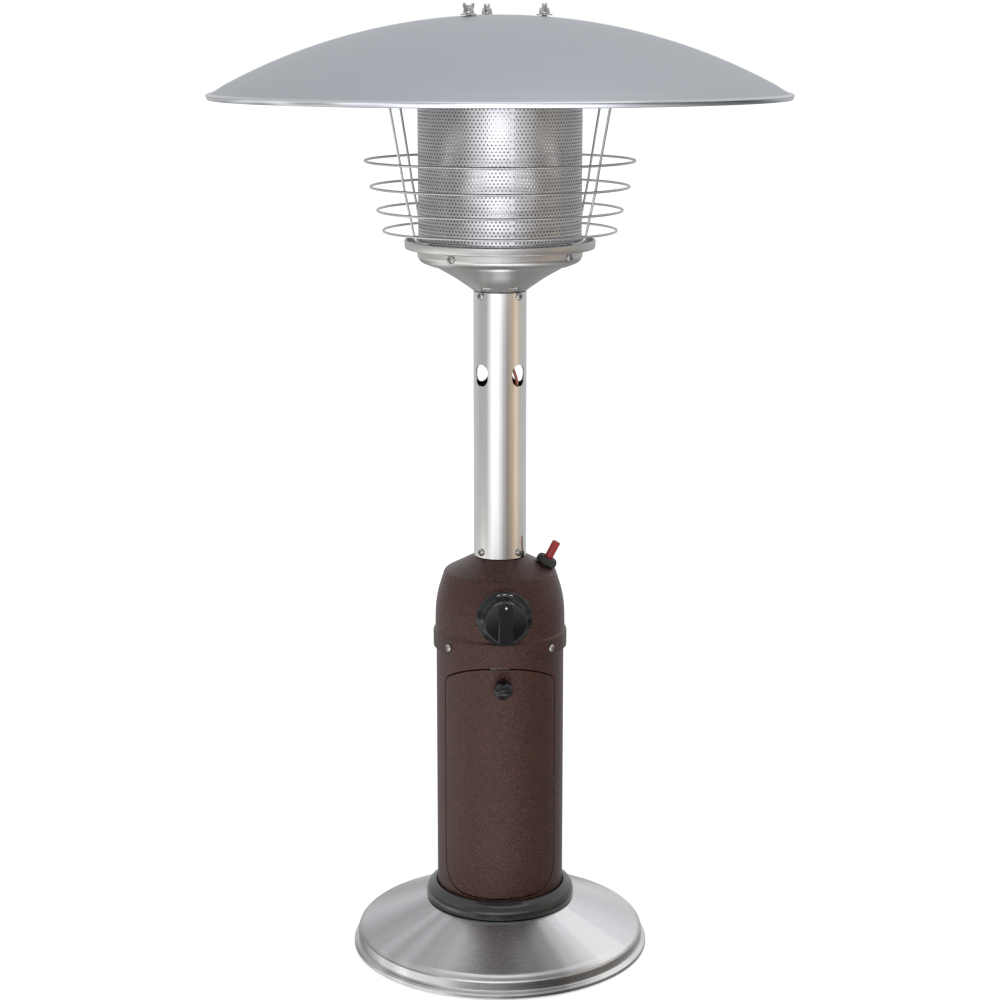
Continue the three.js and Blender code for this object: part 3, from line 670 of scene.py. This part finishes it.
# height over a polar grid: a dome, sunk where either bar of the cross lies within its reach
def screwHead(radius, height, sides=64):
    rings = np.array([0.001, 0.1, 0.17, 0.19, 0.3, 0.42, 0.54, 0.58, 0.7, 0.82, 0.92, 0.98, 1.0])
    angle = roundSteps(sides)
    r, a = np.meshgrid(rings, angle, indexing="ij")
    x, y = r * np.cos(a), r * np.sin(a)
    dome = height * np.sqrt(np.maximum(1 - (r * 0.96) ** 2.4, 0))
    across, along = np.abs(x), np.abs(y)
    inCross = (((across < cross["width"]) & (along < cross["reach"]))
               | ((along < cross["width"]) & (across < cross["reach"])))
    z = np.where(inCross, dome - cross["depth"] * height, dome)
    top = np.stack([x * radius, y * radius, z], axis=2).reshape(-1, 3)
    foot = np.stack([0.985 * radius * np.cos(angle), 0.985 * radius * np.sin(angle), 0 * angle], axis=1)
    return capped(np.concatenate([top, foot]), len(rings) + 1, sides)


# each row: azimuths, distance from the axis, height, head's radius, head's height, turn of the first cross
screws = {
    "housing_screw": ([-49, 49, 131, 229], 65.5, 316.5, 3.6, 2.2, 10),
    "pole_screw_low": ([45, 135, 225, 315], 25.6, 405.3, 3.7, 2.3, 25),
    "pole_screw_top": ([45, 135, 225, 315], 25.6, 653.2, 3.7, 2.3, 50),
    "head_screw": ([-35, 55, 145, 235], 78.5, 692, 3.9, 2.4, 15),
}


def makeScrews():
    shank = turned([(0, -4), (1.6, -4), (1.6, 0.05), (0, 0.05)], 16)
    for label, (azimuths, distance, height, headRadius, headHeight, twist) in screws.items():
        for n, azimuth in enumerate(azimuths):
            head = spun(screwHead(headRadius, headHeight), twist + 37 * n)
            makePiece(f"{label}_{n + 1}_head", outward(joined(head, shank), azimuth, distance, height),
                      "heater", zinc, [f"{label}_{n + 1}"], 30)


makeScrews()
print("screws made")


knob = {"azimuth": 3.5, "height": 353, "stand": 68.4, "skirt": 26.75, "cap": 19.75, "depth": 29,
        "gripHalf": 8.2, "dot": (17.2, 1.05), "tick": (3, 23.1, 24.5), "tickTurns": (-14, 0, 14)}
doorKnob = {"azimuth": 2.5, "height": 283, "ball": 9.4, "centre": 9.1}


# a rounded bar across the knob's face: its outline is the cap's circle cut by two straight sides
def gripOutline(radius, halfWidth, count=40):
    limit = np.arccos(halfWidth / radius)
    t = np.linspace(-limit, limit, count) + pi / 2
    upper = np.stack([radius * np.cos(t), radius * np.sin(t)], axis=1)
    keep = np.abs(upper[:, 0]) <= halfWidth + 1e-6
    upper = upper[keep]
    return np.concatenate([upper, -upper])


def makeKnob():
    outline = [(0, 0), (knob["skirt"], 0), (knob["skirt"], 3), (knob["cap"] + 2.4, 6.2), (knob["cap"] + 1, 8),
               (knob["cap"], knob["depth"] - 6.4), (0, knob["depth"] - 6.2)]
    body = turned(softened(outline, [0.1, 0.8, 1.6, 2, 1.4, 1.6, 0.1], 6), 128)
    grip = prism(gripOutline(knob["cap"] - 0.2, knob["gripHalf"]), knob["depth"] - 9, knob["depth"])
    up, radius = knob["dot"]
    angle = roundSteps(24)
    dot = prism(np.stack([radius * np.cos(angle), up + radius * np.sin(angle)], axis=1), knob["depth"] - 0.4,
                knob["depth"] + 0.08)
    wide, low, high = knob["tick"]
    tick = prism([(-wide / 2, low), (wide / 2, low), (wide / 2, high), (-wide / 2, high)], 4.2, 4.95)
    marks = joined(dot, *[spun(tick, -turn) for turn in knob["tickTurns"]])
    for part, shape, material, replaced, bevel in (("body", body, glossBlack, ["control_knob"], 0),
                                                   ("grip", grip, glossBlack, [], 1.0),
                                                   ("marks", marks, whiteInk, [], 0)):
        makePiece(f"control_knob_{part}", outward(shape, knob["azimuth"], knob["stand"], knob["height"]),
                  "knob", material, replaced, 40, bevel)


def makeDoorKnob():
    outline = np.concatenate([[(0, -5), (2.5, -5), (2.5, 0.35), (5, 0.35), (5, 2.2)],
                              arcLine((0, doorKnob["centre"]), doorKnob["ball"], -48, 84, 18),
                              [(0, doorKnob["centre"] + doorKnob["ball"])]])
    shape = outward(turned(outline, 72), doorKnob["azimuth"], tube["outer"], doorKnob["height"])
    makePiece("door_knob_ball", shape, "bottle_door", glossBlack, ["door_knob"], 40)


igniter = {"lean": 27.1, "radius": 44, "height": 390, "button": 4.1, "foot": -11, "reach": 24.5, "body": 40}


# leaned over: z tips towards +X by the lean (x cos + z sin, z cos - x sin), then the shape moves out
# to its place on the cone
def leaned(shape):
    p, a = shape[0], radians(igniter["lean"])
    x = p[:, 0] * np.cos(a) + p[:, 2] * np.sin(a)
    z = -p[:, 0] * np.sin(a) + p[:, 2] * np.cos(a)
    return np.stack([x + igniter["radius"], p[:, 1], z + igniter["height"]], axis=1), shape[1]


def makeIgniter():
    nut = turned([(7.8, 0.8), (10.6, 0.8), (10.6, 4.6), (9, 7.4), (7.8, 7.4)], 10)
    makePiece("igniter_nut_cap", leaned(nut), "heater", mattBlack, ["igniter_nut"],
              25, 0.5)
    neck = [(0, -40), (8.6, -40), (8.6, -3.4), (7.4, -3.2), (7.4, 6.9), (4.5, 6.9), (4.5, -18), (0, -18)]
    makePiece("igniter_body_shell", leaned(turned(softened(neck, 0.4, 3), 48)), "heater", mattBlack,
              ["igniter_body"])
    low, high, radius = igniter["foot"], igniter["reach"], igniter["button"]
    button = softened([(0, low), (radius, low), (radius, high), (0, high)], [0.1, 0.2, 0.8, 0.1], 6)
    makePiece("igniter_button_cap", leaned(turned(button, 64)), "igniter_plunger", redPlastic,
              ["igniter_button"], 40)


makeKnob()
makeDoorKnob()
makeIgniter()
print("knobs and igniter made")


pole = {"outer": 25.4, "inner": 24.4, "bottom": 399.8, "top": 656.4, "window": 577.5, "width": 16,
        "length": 21, "patch": 44, "side": 24, "rings": 8, "bandRows": 10}


# a quarter of the wall, laid flat: rings that change from the window's round-ended outline to the
# patch's rectangle, by a share of the way raised to the power 1.3
def poleQuarter():
    side, reach, half = pole["side"], pi / 4 * pole["outer"], pole["patch"] / 2
    n = np.arange(side) / side
    foot = np.stack([-reach + 2 * reach * n, np.full(side, -half)], axis=1)
    right = np.stack([np.full(side, reach), -half + 2 * half * n], axis=1)
    border = np.concatenate([foot, right, -foot, -right])
    angle = np.arctan2(border[:, 1], border[:, 0])
    r = pole["width"] / 2
    straight = (pole["length"] - pole["width"]) / 2
    across, up = np.cos(angle), np.sin(angle)
    lift = straight * np.sign(up) * np.minimum(np.abs(up) * 4, 1)
    hole = np.stack([r * across, r * up + lift], axis=1)
    share = np.linspace(0, 1, pole["rings"])[:, None, None] ** 1.3
    return hole[None] * (1 - share) + border[None] * share


# four quarters with a window each, straight bands below and above them, and the rims
def poleShape():
    flat = poleQuarter()
    count = 4 * pole["side"]
    faces = [(radius, gridFaces(pole["rings"], count, False, True)[:, ::step])
             for radius, step in ((pole["outer"], -1), (pole["inner"], 1))]
    shapes = []
    for quarter in range(4):
        angle = (flat[:, :, 0] + (45 + 90 * quarter) * pi / 180 * pole["outer"]) / pole["outer"]
        z = flat[:, :, 1] + pole["window"]
        shapes += [(polar(angle, radius, z).reshape(-1, 3), quads.tolist()) for radius, quads in faces]
        rim = np.concatenate([polar(angle[0], radius, z[0]) for radius in (pole["inner"], pole["outer"])])
        shapes.append((rim, gridFaces(2, count, False, True)[:, ::-1].tolist()))
    half, rows = pole["patch"] / 2, pole["bandRows"]
    angle = roundSteps(count)
    for low, high in ((pole["bottom"], pole["window"] - half), (pole["window"] + half, pole["top"])):
        z = np.linspace(low, high, rows)[:, None]
        for radius, step in ((pole["outer"], 1), (pole["inner"], -1)):
            quads = gridFaces(rows, count, False, True)[:, ::step]
            shapes.append((polar(angle, radius, z).reshape(-1, 3), quads.tolist()))
    for height, step in ((pole["bottom"], -1), (pole["top"], 1)):
        rim = np.concatenate([polar(angle, radius, height) for radius in (pole["outer"], pole["inner"])])
        shapes.append((rim, gridFaces(2, count, False, True)[:, ::step].tolist()))
    return joined(*shapes)


# points that meet become one, so that the wall is closed and shades evenly
def welded(shape, step=0.002):
    points, faces = np.asarray(shape[0]), shape[1]
    key = np.round(points / step).astype(np.int64)
    first, inverse = np.unique(key, axis=0, return_index=True, return_inverse=True)[1:]
    inverse = inverse.ravel()
    cells = [[int(inverse[n]) for n in face] for face in faces]
    cells = [[n for k, n in enumerate(cell) if n != cell[k - 1]] for cell in cells]
    return points[first], [cell for cell in cells if len(cell) > 2]


makePiece("pole_tube", welded(poleShape()), "heater", tubeSteel, ["pole"], 35)


# places along each line, the radius and how many steps it has; the igniter wire starts under its body
innerLines = {
    "gas": ([(0, -4, 371.4), (0, -4, 380), (0, -2, 394), (0, 0, 410), (0, 0, 540), (0, 0, 662.4)], 3.2, 90),
    "wire": ([(21, 1, 348), (17, 4, 352), (15.5, 3, 368), (11, -8, 392), (10, -10, 412), (10, -10, 520),
              (9, -11, 548), (15.2, -14.2, 566), (15.6, -14.6, 574), (11.8, -14.2, 586), (9, -11, 604),
              (10, -10, 624), (10, -10, 650), (13, -12, 664), (34, -16, 682), (50, -17, 692),
              (52, -17, 698.6)], 1.5, 240),
    "lead": ([(-13.5, 0, 352), (-19, 2, 354), (-19, 5, 370), (-13, 8, 392), (-10, 9, 412), (-10, 9, 540),
              (-10, 9, 650), (-13, 11, 664), (-34, 13, 681), (-52, 14, 689), (-56, 14, 696),
              (-56, 14, 716)], 1.3, 160),
}


def makeInnerLines():
    lean, past = radians(igniter["lean"]), igniter["body"] + 0.6
    start = (igniter["radius"] - past * np.sin(lean), 0, igniter["height"] - past * np.cos(lean))
    for key, name, before, reference, sides, material, node, slot in (
            ("gas", "gas_tube_bent", [], (1, 0, 0), 20, aluminium, "gas_tube", "aluminium_tube"),
            ("wire", "igniter_wire_run", [start], (0.3, 1, 0.1), 12, jacket, "igniter_wire", "wire_jacket"),
            ("lead", "thermocouple_run", [], (0.3, 1, 0.1), 12, copper, "thermocouple_lead", "copper")):
        places, radius, steps = innerLines[key]
        path = smoothPath(before + places, steps)
        makePiece(name, swept(path, radius, reference, sides), "heater", material, [node])


makeInnerLines()
print("pole made")


head = {"band": 78.3, "flange": 90.6, "flangeHeight": 697, "rim": 705, "sheet": 1.2}
slots = {"count": 8, "first": 22.5, "distance": 32, "height": 664.6, "half": (4.5, 1.5)}


def makeHead():
    line = [(66.8, 681.2), (75.4, 684.6), (head["band"], 689), (head["band"], head["flangeHeight"]),
            (head["flange"] - 0.6, head["flangeHeight"]), (head["flange"], head["rim"]),
            (88.4, head["rim"] + 0.1)]
    soft = softened(line, [1, 3.4, 4, 0.9, 1.6, 1.3, 1], 6)
    makePiece("head_pan_skin", turned(walled(soft, head["sheet"]), 256), "heater", headSteel, ["head_pan"],
              45)
    funnel = [(neckRadius, 645), (neckRadius, 656.6), (25.9, 657.5), (42, 669), (64.8, 681.9), (73.4, 687.8),
              (76.4, 690.8), (76.4, 695.8)]
    soft = softened(funnel, [1, 0.3, 0.8, 8, 3, 2, 1.5, 1], 6)
    skin = makePiece("head_funnel_skin", turned(walled(soft, head["sheet"]), 192), "heater", headSteel,
                     ["head_funnel"], 45)
    wide, tall = slots["half"]
    oval = softened([(-wide, -tall), (wide, -tall), (wide, tall), (-wide, tall)], 1.4, 5, True)
    points, faces = prism(oval, -8, 8)
    upright = (points[:, [0, 2, 1]], [face[::-1] for face in faces])
    turns = slots["first"] + 360 / slots["count"] * np.arange(slots["count"])
    cutOut(skin, *[outward(upright, turn, slots["distance"], slots["height"]) for turn in turns])


emitter = {"radius": 77.2, "wall": 0.9, "bottom": 703.6, "middle": 785.7, "top": 867.8, "rows": 26,
           "holes": 132, "hole": 0.98, "seamAt": 8.9, "hem": (76.1, 77.6, 705.2)}


# a band of staggered six-sided holes: each cell is a rectangle of the sheet with its own hole,
# and every second row starts half a cell further round
def perforated(low, high, rows):
    count = emitter["holes"]
    columns = 2 * count
    pitch = 2 * pi * emitter["radius"] / count
    tall = (high - low) / rows
    lineU = np.arange(columns) * pitch / 2
    lineZ = low + np.arange(rows + 1) * tall
    latticeU, latticeZ = np.meshgrid(lineU, lineZ)
    row, cell = np.meshgrid(np.arange(rows), np.arange(count), indexing="ij")
    row, cell = row.ravel(), cell.ravel()
    start = 2 * cell + row % 2
    across = [(start + n) % columns for n in range(3)]
    below, above = row * columns, (row + 1) * columns
    edge = np.stack([below + n for n in across] + [above + n for n in across[::-1]], axis=1)
    angle = np.radians([-150, -90, -30, 30, 90, 150])
    holeU = (start + 1)[:, None] * pitch / 2 + emitter["hole"] * np.cos(angle)
    holeZ = (lineZ[row] + tall / 2)[:, None] + emitter["hole"] * np.sin(angle)
    allU = np.concatenate([latticeU.ravel(), holeU.ravel()])
    allZ = np.concatenate([latticeZ.ravel(), holeZ.ravel()])
    turn = allU / emitter["radius"]
    sheets = [polar(turn, r, allZ) for r in (emitter["radius"], emitter["radius"] - emitter["wall"])]
    total = len(allU)
    hole = (rows + 1) * columns + np.arange(rows * count * 6).reshape(-1, 6)
    nextEdge, nextHole = np.roll(edge, -1, axis=1), np.roll(hole, -1, axis=1)
    front = np.stack([edge, nextEdge, nextHole, hole], axis=2).reshape(-1, 4)
    wall = np.stack([hole, nextHole, nextHole + total, hole + total], axis=2).reshape(-1, 4)
    j = np.arange(columns)
    right, last = (j + 1) % columns, rows * columns
    faces = [front, front[:, ::-1] + total, wall, edgeStrip(right, j, total),
             edgeStrip(last + j, last + right, total)]
    return np.concatenate(sheets), np.concatenate(faces).tolist()


def makeEmitter():
    bottom, middle, top = emitter["bottom"], emitter["middle"], emitter["top"]
    for part, low, high, replaced in (("low", bottom, middle, ["emitter_screen"]), ("high", middle, top, [])):
        makePiece(f"emitter_screen_{part}", perforated(low, high, emitter["rows"]), "heater", emitterSteel,
                  replaced, 60)
    seam = panelShape(0.7, emitter["radius"] - 0.4, emitter["radius"] + 0.55, lambda u: bottom + 0.2 + 0 * u,
                      lambda u: top - 0.2 + 0 * u, 3, 3, emitter["seamAt"])
    makePiece("emitter_seam", seam, "heater", emitterSteel, [], 40)
    inner, outer, high = emitter["hem"]
    hem = softened([(inner, bottom), (outer, bottom), (outer, high), (inner, high)], 0.3, 3, True)
    makePiece("emitter_hem", turned(hem, 192), "heater", emitterSteel, [])


studs = {"circle": 42, "azimuths": (-43, 77, 197), "nutTurns": (66, 97, 80), "radius": 2.4, "bottom": 905,
         "top": 920.5, "spacer": (4.6, 869, 908.6)}


# a threaded rod: the radius is a small wave of the height and the angle
def thread(radius, low, high, pitch=1.0, depth=0.22, sides=24):
    rows = int((high - low) / pitch * 8)
    a, height = np.meshgrid(roundSteps(sides), np.linspace(low, high, rows))
    r = radius - depth * (0.5 + 0.5 * np.cos(2 * pi * height / pitch - a))
    r[0], r[-1] = radius - depth, radius - 2 * depth
    return capped(polar(a, r, height).reshape(-1, 3), rows, sides)


def makeEmitterTop():
    cap = [(0, 868.4), (78.4, 868.4), (78.4, 858), (79.6, 858), (79.6, 869.8), (0, 869.8)]
    parts = [turned(softened(cap, 0.5, 4), 160)]
    radius, low, high = studs["spacer"]
    spacer = turned(softened([(0, low), (radius, low), (radius, high), (0, high)], 0.4, 3), 32)
    for azimuth in studs["azimuths"]:
        place = around(azimuth, studs["circle"], 0)
        parts += [moved(spacer, place), moved(thread(studs["radius"], studs["bottom"], studs["top"]), place)]
    makePiece("emitter_top_plate", joined(*parts), "heater", zinc, ["emitter_top"], 40)


makeHead()
makeEmitter()
makeEmitterTop()
print("burner head made")


guard = {"wire": 1.2, "rings": ((126.7, 779), (121.6, 755), (115.4, 733), (110, 714), (142.5, 846)),
         "leg": 46, "foot": (88.2, 706.9), "knee": (103, 709), "legTop": 848}


def makeGuard():
    angle = roundSteps(160)
    parts = [swept(polar(angle, radius, height), guard["wire"], (0, 0, 1), 12, True)
             for radius, height in guard["rings"]]
    inset = 2 * guard["wire"] - 0.5
    footRadius, footHeight = guard["foot"]
    for azimuth in (guard["leg"], 180 - guard["leg"], 180 + guard["leg"], -guard["leg"]):
        places = [around(azimuth, guard["rings"][4][0] - inset, guard["legTop"])]
        places += [around(azimuth, radius - inset, height) for radius, height in guard["rings"][:4]]
        places += [around(azimuth, *guard["knee"]), around(azimuth, footRadius + 7, footHeight + 0.5),
                   around(azimuth, footRadius, footHeight)]
        across = around(azimuth + 90, 1, 0)
        parts.append(swept(smoothPath(places, 90), guard["wire"], across, 12))
    makePiece("wire_guard_rings", joined(*parts), "heater", wireSteel, ["wire_guard"], 60)


makeGuard()
print("guard made")


dish = {"radius": 545, "top": 912.5, "dome": 256, "rim": (269.8, 838.5), "bead": 3.0, "beadSheet": 1.1,
        "sheet": 1.5}


# the dome is part of a sphere: height = top - (R - sqrt(R^2 - r^2))
def dishHeight(r):
    return dish["top"] - (dish["radius"] - np.sqrt(dish["radius"] ** 2 - r ** 2))


def makeReflector():
    r = np.linspace(0, dish["dome"], 60)
    dome = np.stack([r, dishHeight(r)], axis=1)
    lip = softened([dome[-1], (262, 844.8), (266.4, 842.4)], 4, 5)[1:]
    bead = arcLine(dish["rim"], dish["bead"] - dish["beadSheet"], 112, -150, 22)
    under = np.stack([r * (1 - dish["sheet"] / dish["radius"]), dishHeight(r) - dish["sheet"]], axis=1)[::-1]
    outline = np.concatenate([dome, lip, bead, [(264.6, 840.8)], under])
    makePiece("reflector_dish", turned(outline[::-1], 320), "heater", dishSteel, ["reflector"],
              50)
    roll = arcLine(dish["rim"], dish["bead"], -60, -340, 40)
    makePiece("reflector_roll", turned(softened(roll[::-1], 0.25, 3, True), 320), "heater", rimSteel, [],
              50)


nut = {"bore": 2.9, "foot": 5.2, "tip": 4.3, "height": 5.4, "wingHalf": 0.95}
washer = {"bore": 2.9, "radius": 7.5, "height": 1.1, "gap": 0.9, "nutGap": 0.35}


def wingNut():
    hub = turned(softened([(nut["bore"], 0), (nut["foot"], 0), (nut["tip"], nut["height"]),
                           (nut["bore"], nut["height"])], 0.5, 3, True), 32)
    blade = softened([(3.4, 0.9), (9.4, 4.0), (11.4, 8.4), (9.6, 9.8), (7.4, 8.4), (3.4, 4.8)], 1.6, 5, True)
    flat, faces = prism(blade, -nut["wingHalf"], nut["wingHalf"])
    upright = np.stack([flat[:, 0], -flat[:, 2], flat[:, 1]], axis=1)
    return joined(hub, *[spun((upright, faces), side) for side in (0, 180)])


def makeFasteners():
    seat = dishHeight(studs["circle"]) + washer["gap"]
    ring = turned(softened([(washer["bore"], 0), (washer["radius"], 0), (washer["radius"], washer["height"]),
                            (washer["bore"], washer["height"])], 0.3, 3, True), 48)
    for n, azimuth in enumerate(studs["azimuths"]):
        place = around(azimuth, studs["circle"], seat)
        makePiece(f"washer_{n + 1}_disc", moved(ring, place), "heater", zinc, [f"washer_{n + 1}"])
        lift = np.array([0, 0, washer["height"] + washer["nutGap"]])
        shape = moved(spun(wingNut(), studs["nutTurns"][n]), place + lift)
        makePiece(f"wing_nut_{n + 1}_body", shape, f"reflector_nut_{n + 1}", zinc, [f"wing_nut_{n + 1}"],
                  35, 0.3)


makeReflector()
makeFasteners()
print("reflector made")


# hidden parts that are shown as they are, with a finish each
kept = {"base_bolt_1": zinc, "base_bolt_2": zinc, "base_bolt_3": zinc, "door_catch": zinc,
        "valve_bracket": zinc, "regulator": brass, "control_valve": brass, "valve_spindle": zinc,
        "valve_push_pin": brass, "tilt_switch": mattBlack, "burner_cup": headSteel, "mixer_tube": castIron,
        "jet": brass, "pilot_burner": zinc, "electrode": ceramic}
for name, material in kept.items():
    nodes[name].data.materials.clear()
    nodes[name].data.materials.append(material)


stage = {"half": 30, "glow": 0.5, "pale": (0.93, 0.96)}


def makeStage():
    half = stage["half"]
    mesh = bpy.data.meshes.new("floor")
    corners = [(-half, -half, 0), (half, -half, 0), (half, half, 0), (-half, half, 0)]
    mesh.from_pydata(corners, [], [(0, 1, 2, 3)])
    floor = bpy.data.objects.new("floor", mesh)
    bpy.context.collection.objects.link(floor)
    f = Finish("paleFloor", Metallic=0.0, Roughness=0.9, Emission_Strength=stage["glow"])
    f.shader.inputs["Emission Color"].default_value = (1, 1, 1, 1)
    dark, light = [(tone, tone, tone) for tone in stage["pale"]]
    f.color(f.blended(f.noise(3), dark, light))
    mesh.materials.append(f.material)
    floor.visible_glossy = False


lamp = {"place": (0.4, -0.8, 3.0), "aim": (0, 0, 0.6), "width": 2.4, "height": 2.0, "power": 12}


def makeLamp():
    data = bpy.data.lights.new("top", "AREA")
    data.shape, data.energy = "RECTANGLE", lamp["power"]
    data.size, data.size_y = lamp["width"], lamp["height"]
    light = bpy.data.objects.new("top", data)
    light.location = lamp["place"]
    way = Vector(lamp["aim"]) - Vector(lamp["place"])
    light.rotation_euler = way.to_track_quat("-Z", "Y").to_euler()
    bpy.context.collection.objects.link(light)


# the studio's walls in bands: the heights a band fades in between (sine of the angle above level), and
# how bright it is against the direction in degrees, as one grey or as red, green and blue; 0 is the
# front, 90 is +X, 180 is the back
walls = {
    "ground": (-1, -1, [(-180, .30, .30, .29), (0, .28, .27, .26), (180, .30, .30, .29)]),
    "below": (-0.8, -0.74, [(-180, .30), (-110, 1.2), (-60, .80), (-34, 2.3, 2.3, 2.4), (0, 2.8),
                            (34, 2.3, 2.3, 2.4), (64, .80), (110, .40), (180, .30)]),
    "under": (-0.6, -0.5, [(-180, .42), (-112, .30), (-100, 1.3), (-90, .34), (-74, .46), (-64, 1.9),
                           (-46, 1.7), (-36, .36), (-20, .30), (-15, 1.4), (-2, 1.3), (4, .25), (20, .22),
                           (26, .80), (32, .20), (100, .24), (180, .42)]),
    "low": (-0.41, -0.375, [(-180, .42), (-150, .26), (-116, 1.1, 1.09, 1.06), (-78, 2.2, 2.16, 2.1),
                            (-52, 1.1, 1.07, 1.04), (-24, .11), (10, .04), (60, .05), (110, .07),
                            (140, .30), (180, .42)]),
    "middle": (-0.262, -0.228, [(-180, .58), (-140, .60, .60, .59), (-80, .46, .46, .45),
                                (-62, .48, .48, .47), (-46, .86), (-34, 1.35, 1.35, 1.34), (-14, 1.3),
                                (4, .90, .89, .90), (16, .52, .50, .49), (34, .34, .29, .27),
                                (50, .52, .42, .31), (74, .84, .69, .53), (96, .58, .53, .46),
                                (125, .52, .54, .55), (180, .58)]),
    "level": (-0.115, -0.075, [(-180, .60), (-90, .36), (-54, .36), (-28, 1.3, 1.3, 1.32),
                               (-8, 2.6, 2.6, 2.7), (10, 2.3, 2.3, 2.4), (32, 1.2), (58, .40), (100, .34),
                               (180, .60)]),
    "high": (0.03, 0.2, [(-180, .74, .75, .77), (-112, .70, .70, .71), (-70, .90), (-40, .55), (0, .45),
                         (60, .50), (100, .80), (180, .74, .75, .77)]),
}
brightest = 2.8


# surfaces see the walls, and the camera sees plain white
def makeWorld():
    world = bpy.data.worlds.new("studio")
    world.use_nodes = True
    sky = Network(world.node_tree)
    background = sky.tree.nodes["Background"]
    z, angle = sky.split(sky.node("ShaderNodeTexCoord").outputs["Generated"])[2:]
    color = None
    for low, high, stops in walls.values():
        tones = [(degrees, tone if len(tone) == 3 else tone * 3) for degrees, *tone in stops]
        band = sky.angleColors(angle, [(degrees, [t / brightest for t in tone]) for degrees, tone in tones])
        if color is None:
            color = band
        else:
            color = sky.mixed(sky.spread(z, 0, 1, low, high, "SMOOTHSTEP"), color, band)
    sky.link(color, background.inputs["Color"])
    background.inputs["Strength"].default_value = brightest
    white = sky.node("ShaderNodeBackground")
    white.inputs["Color"].default_value = (1, 1, 1, 1)
    white.inputs["Strength"].default_value = 1
    either = sky.node("ShaderNodeMixShader")
    sources = (sky.node("ShaderNodeLightPath").outputs["Is Camera Ray"], background.outputs["Background"],
               white.outputs["Background"])
    for source, target in zip(sources, either.inputs):
        sky.link(source, target)
    sky.link(either.outputs["Shader"], sky.tree.nodes["World Output"].inputs["Surface"])
    bpy.context.scene.world = world


makeStage()
makeLamp()
makeWorld()
bpy.context.scene.view_settings.view_transform = "Standard"
print("stage made")
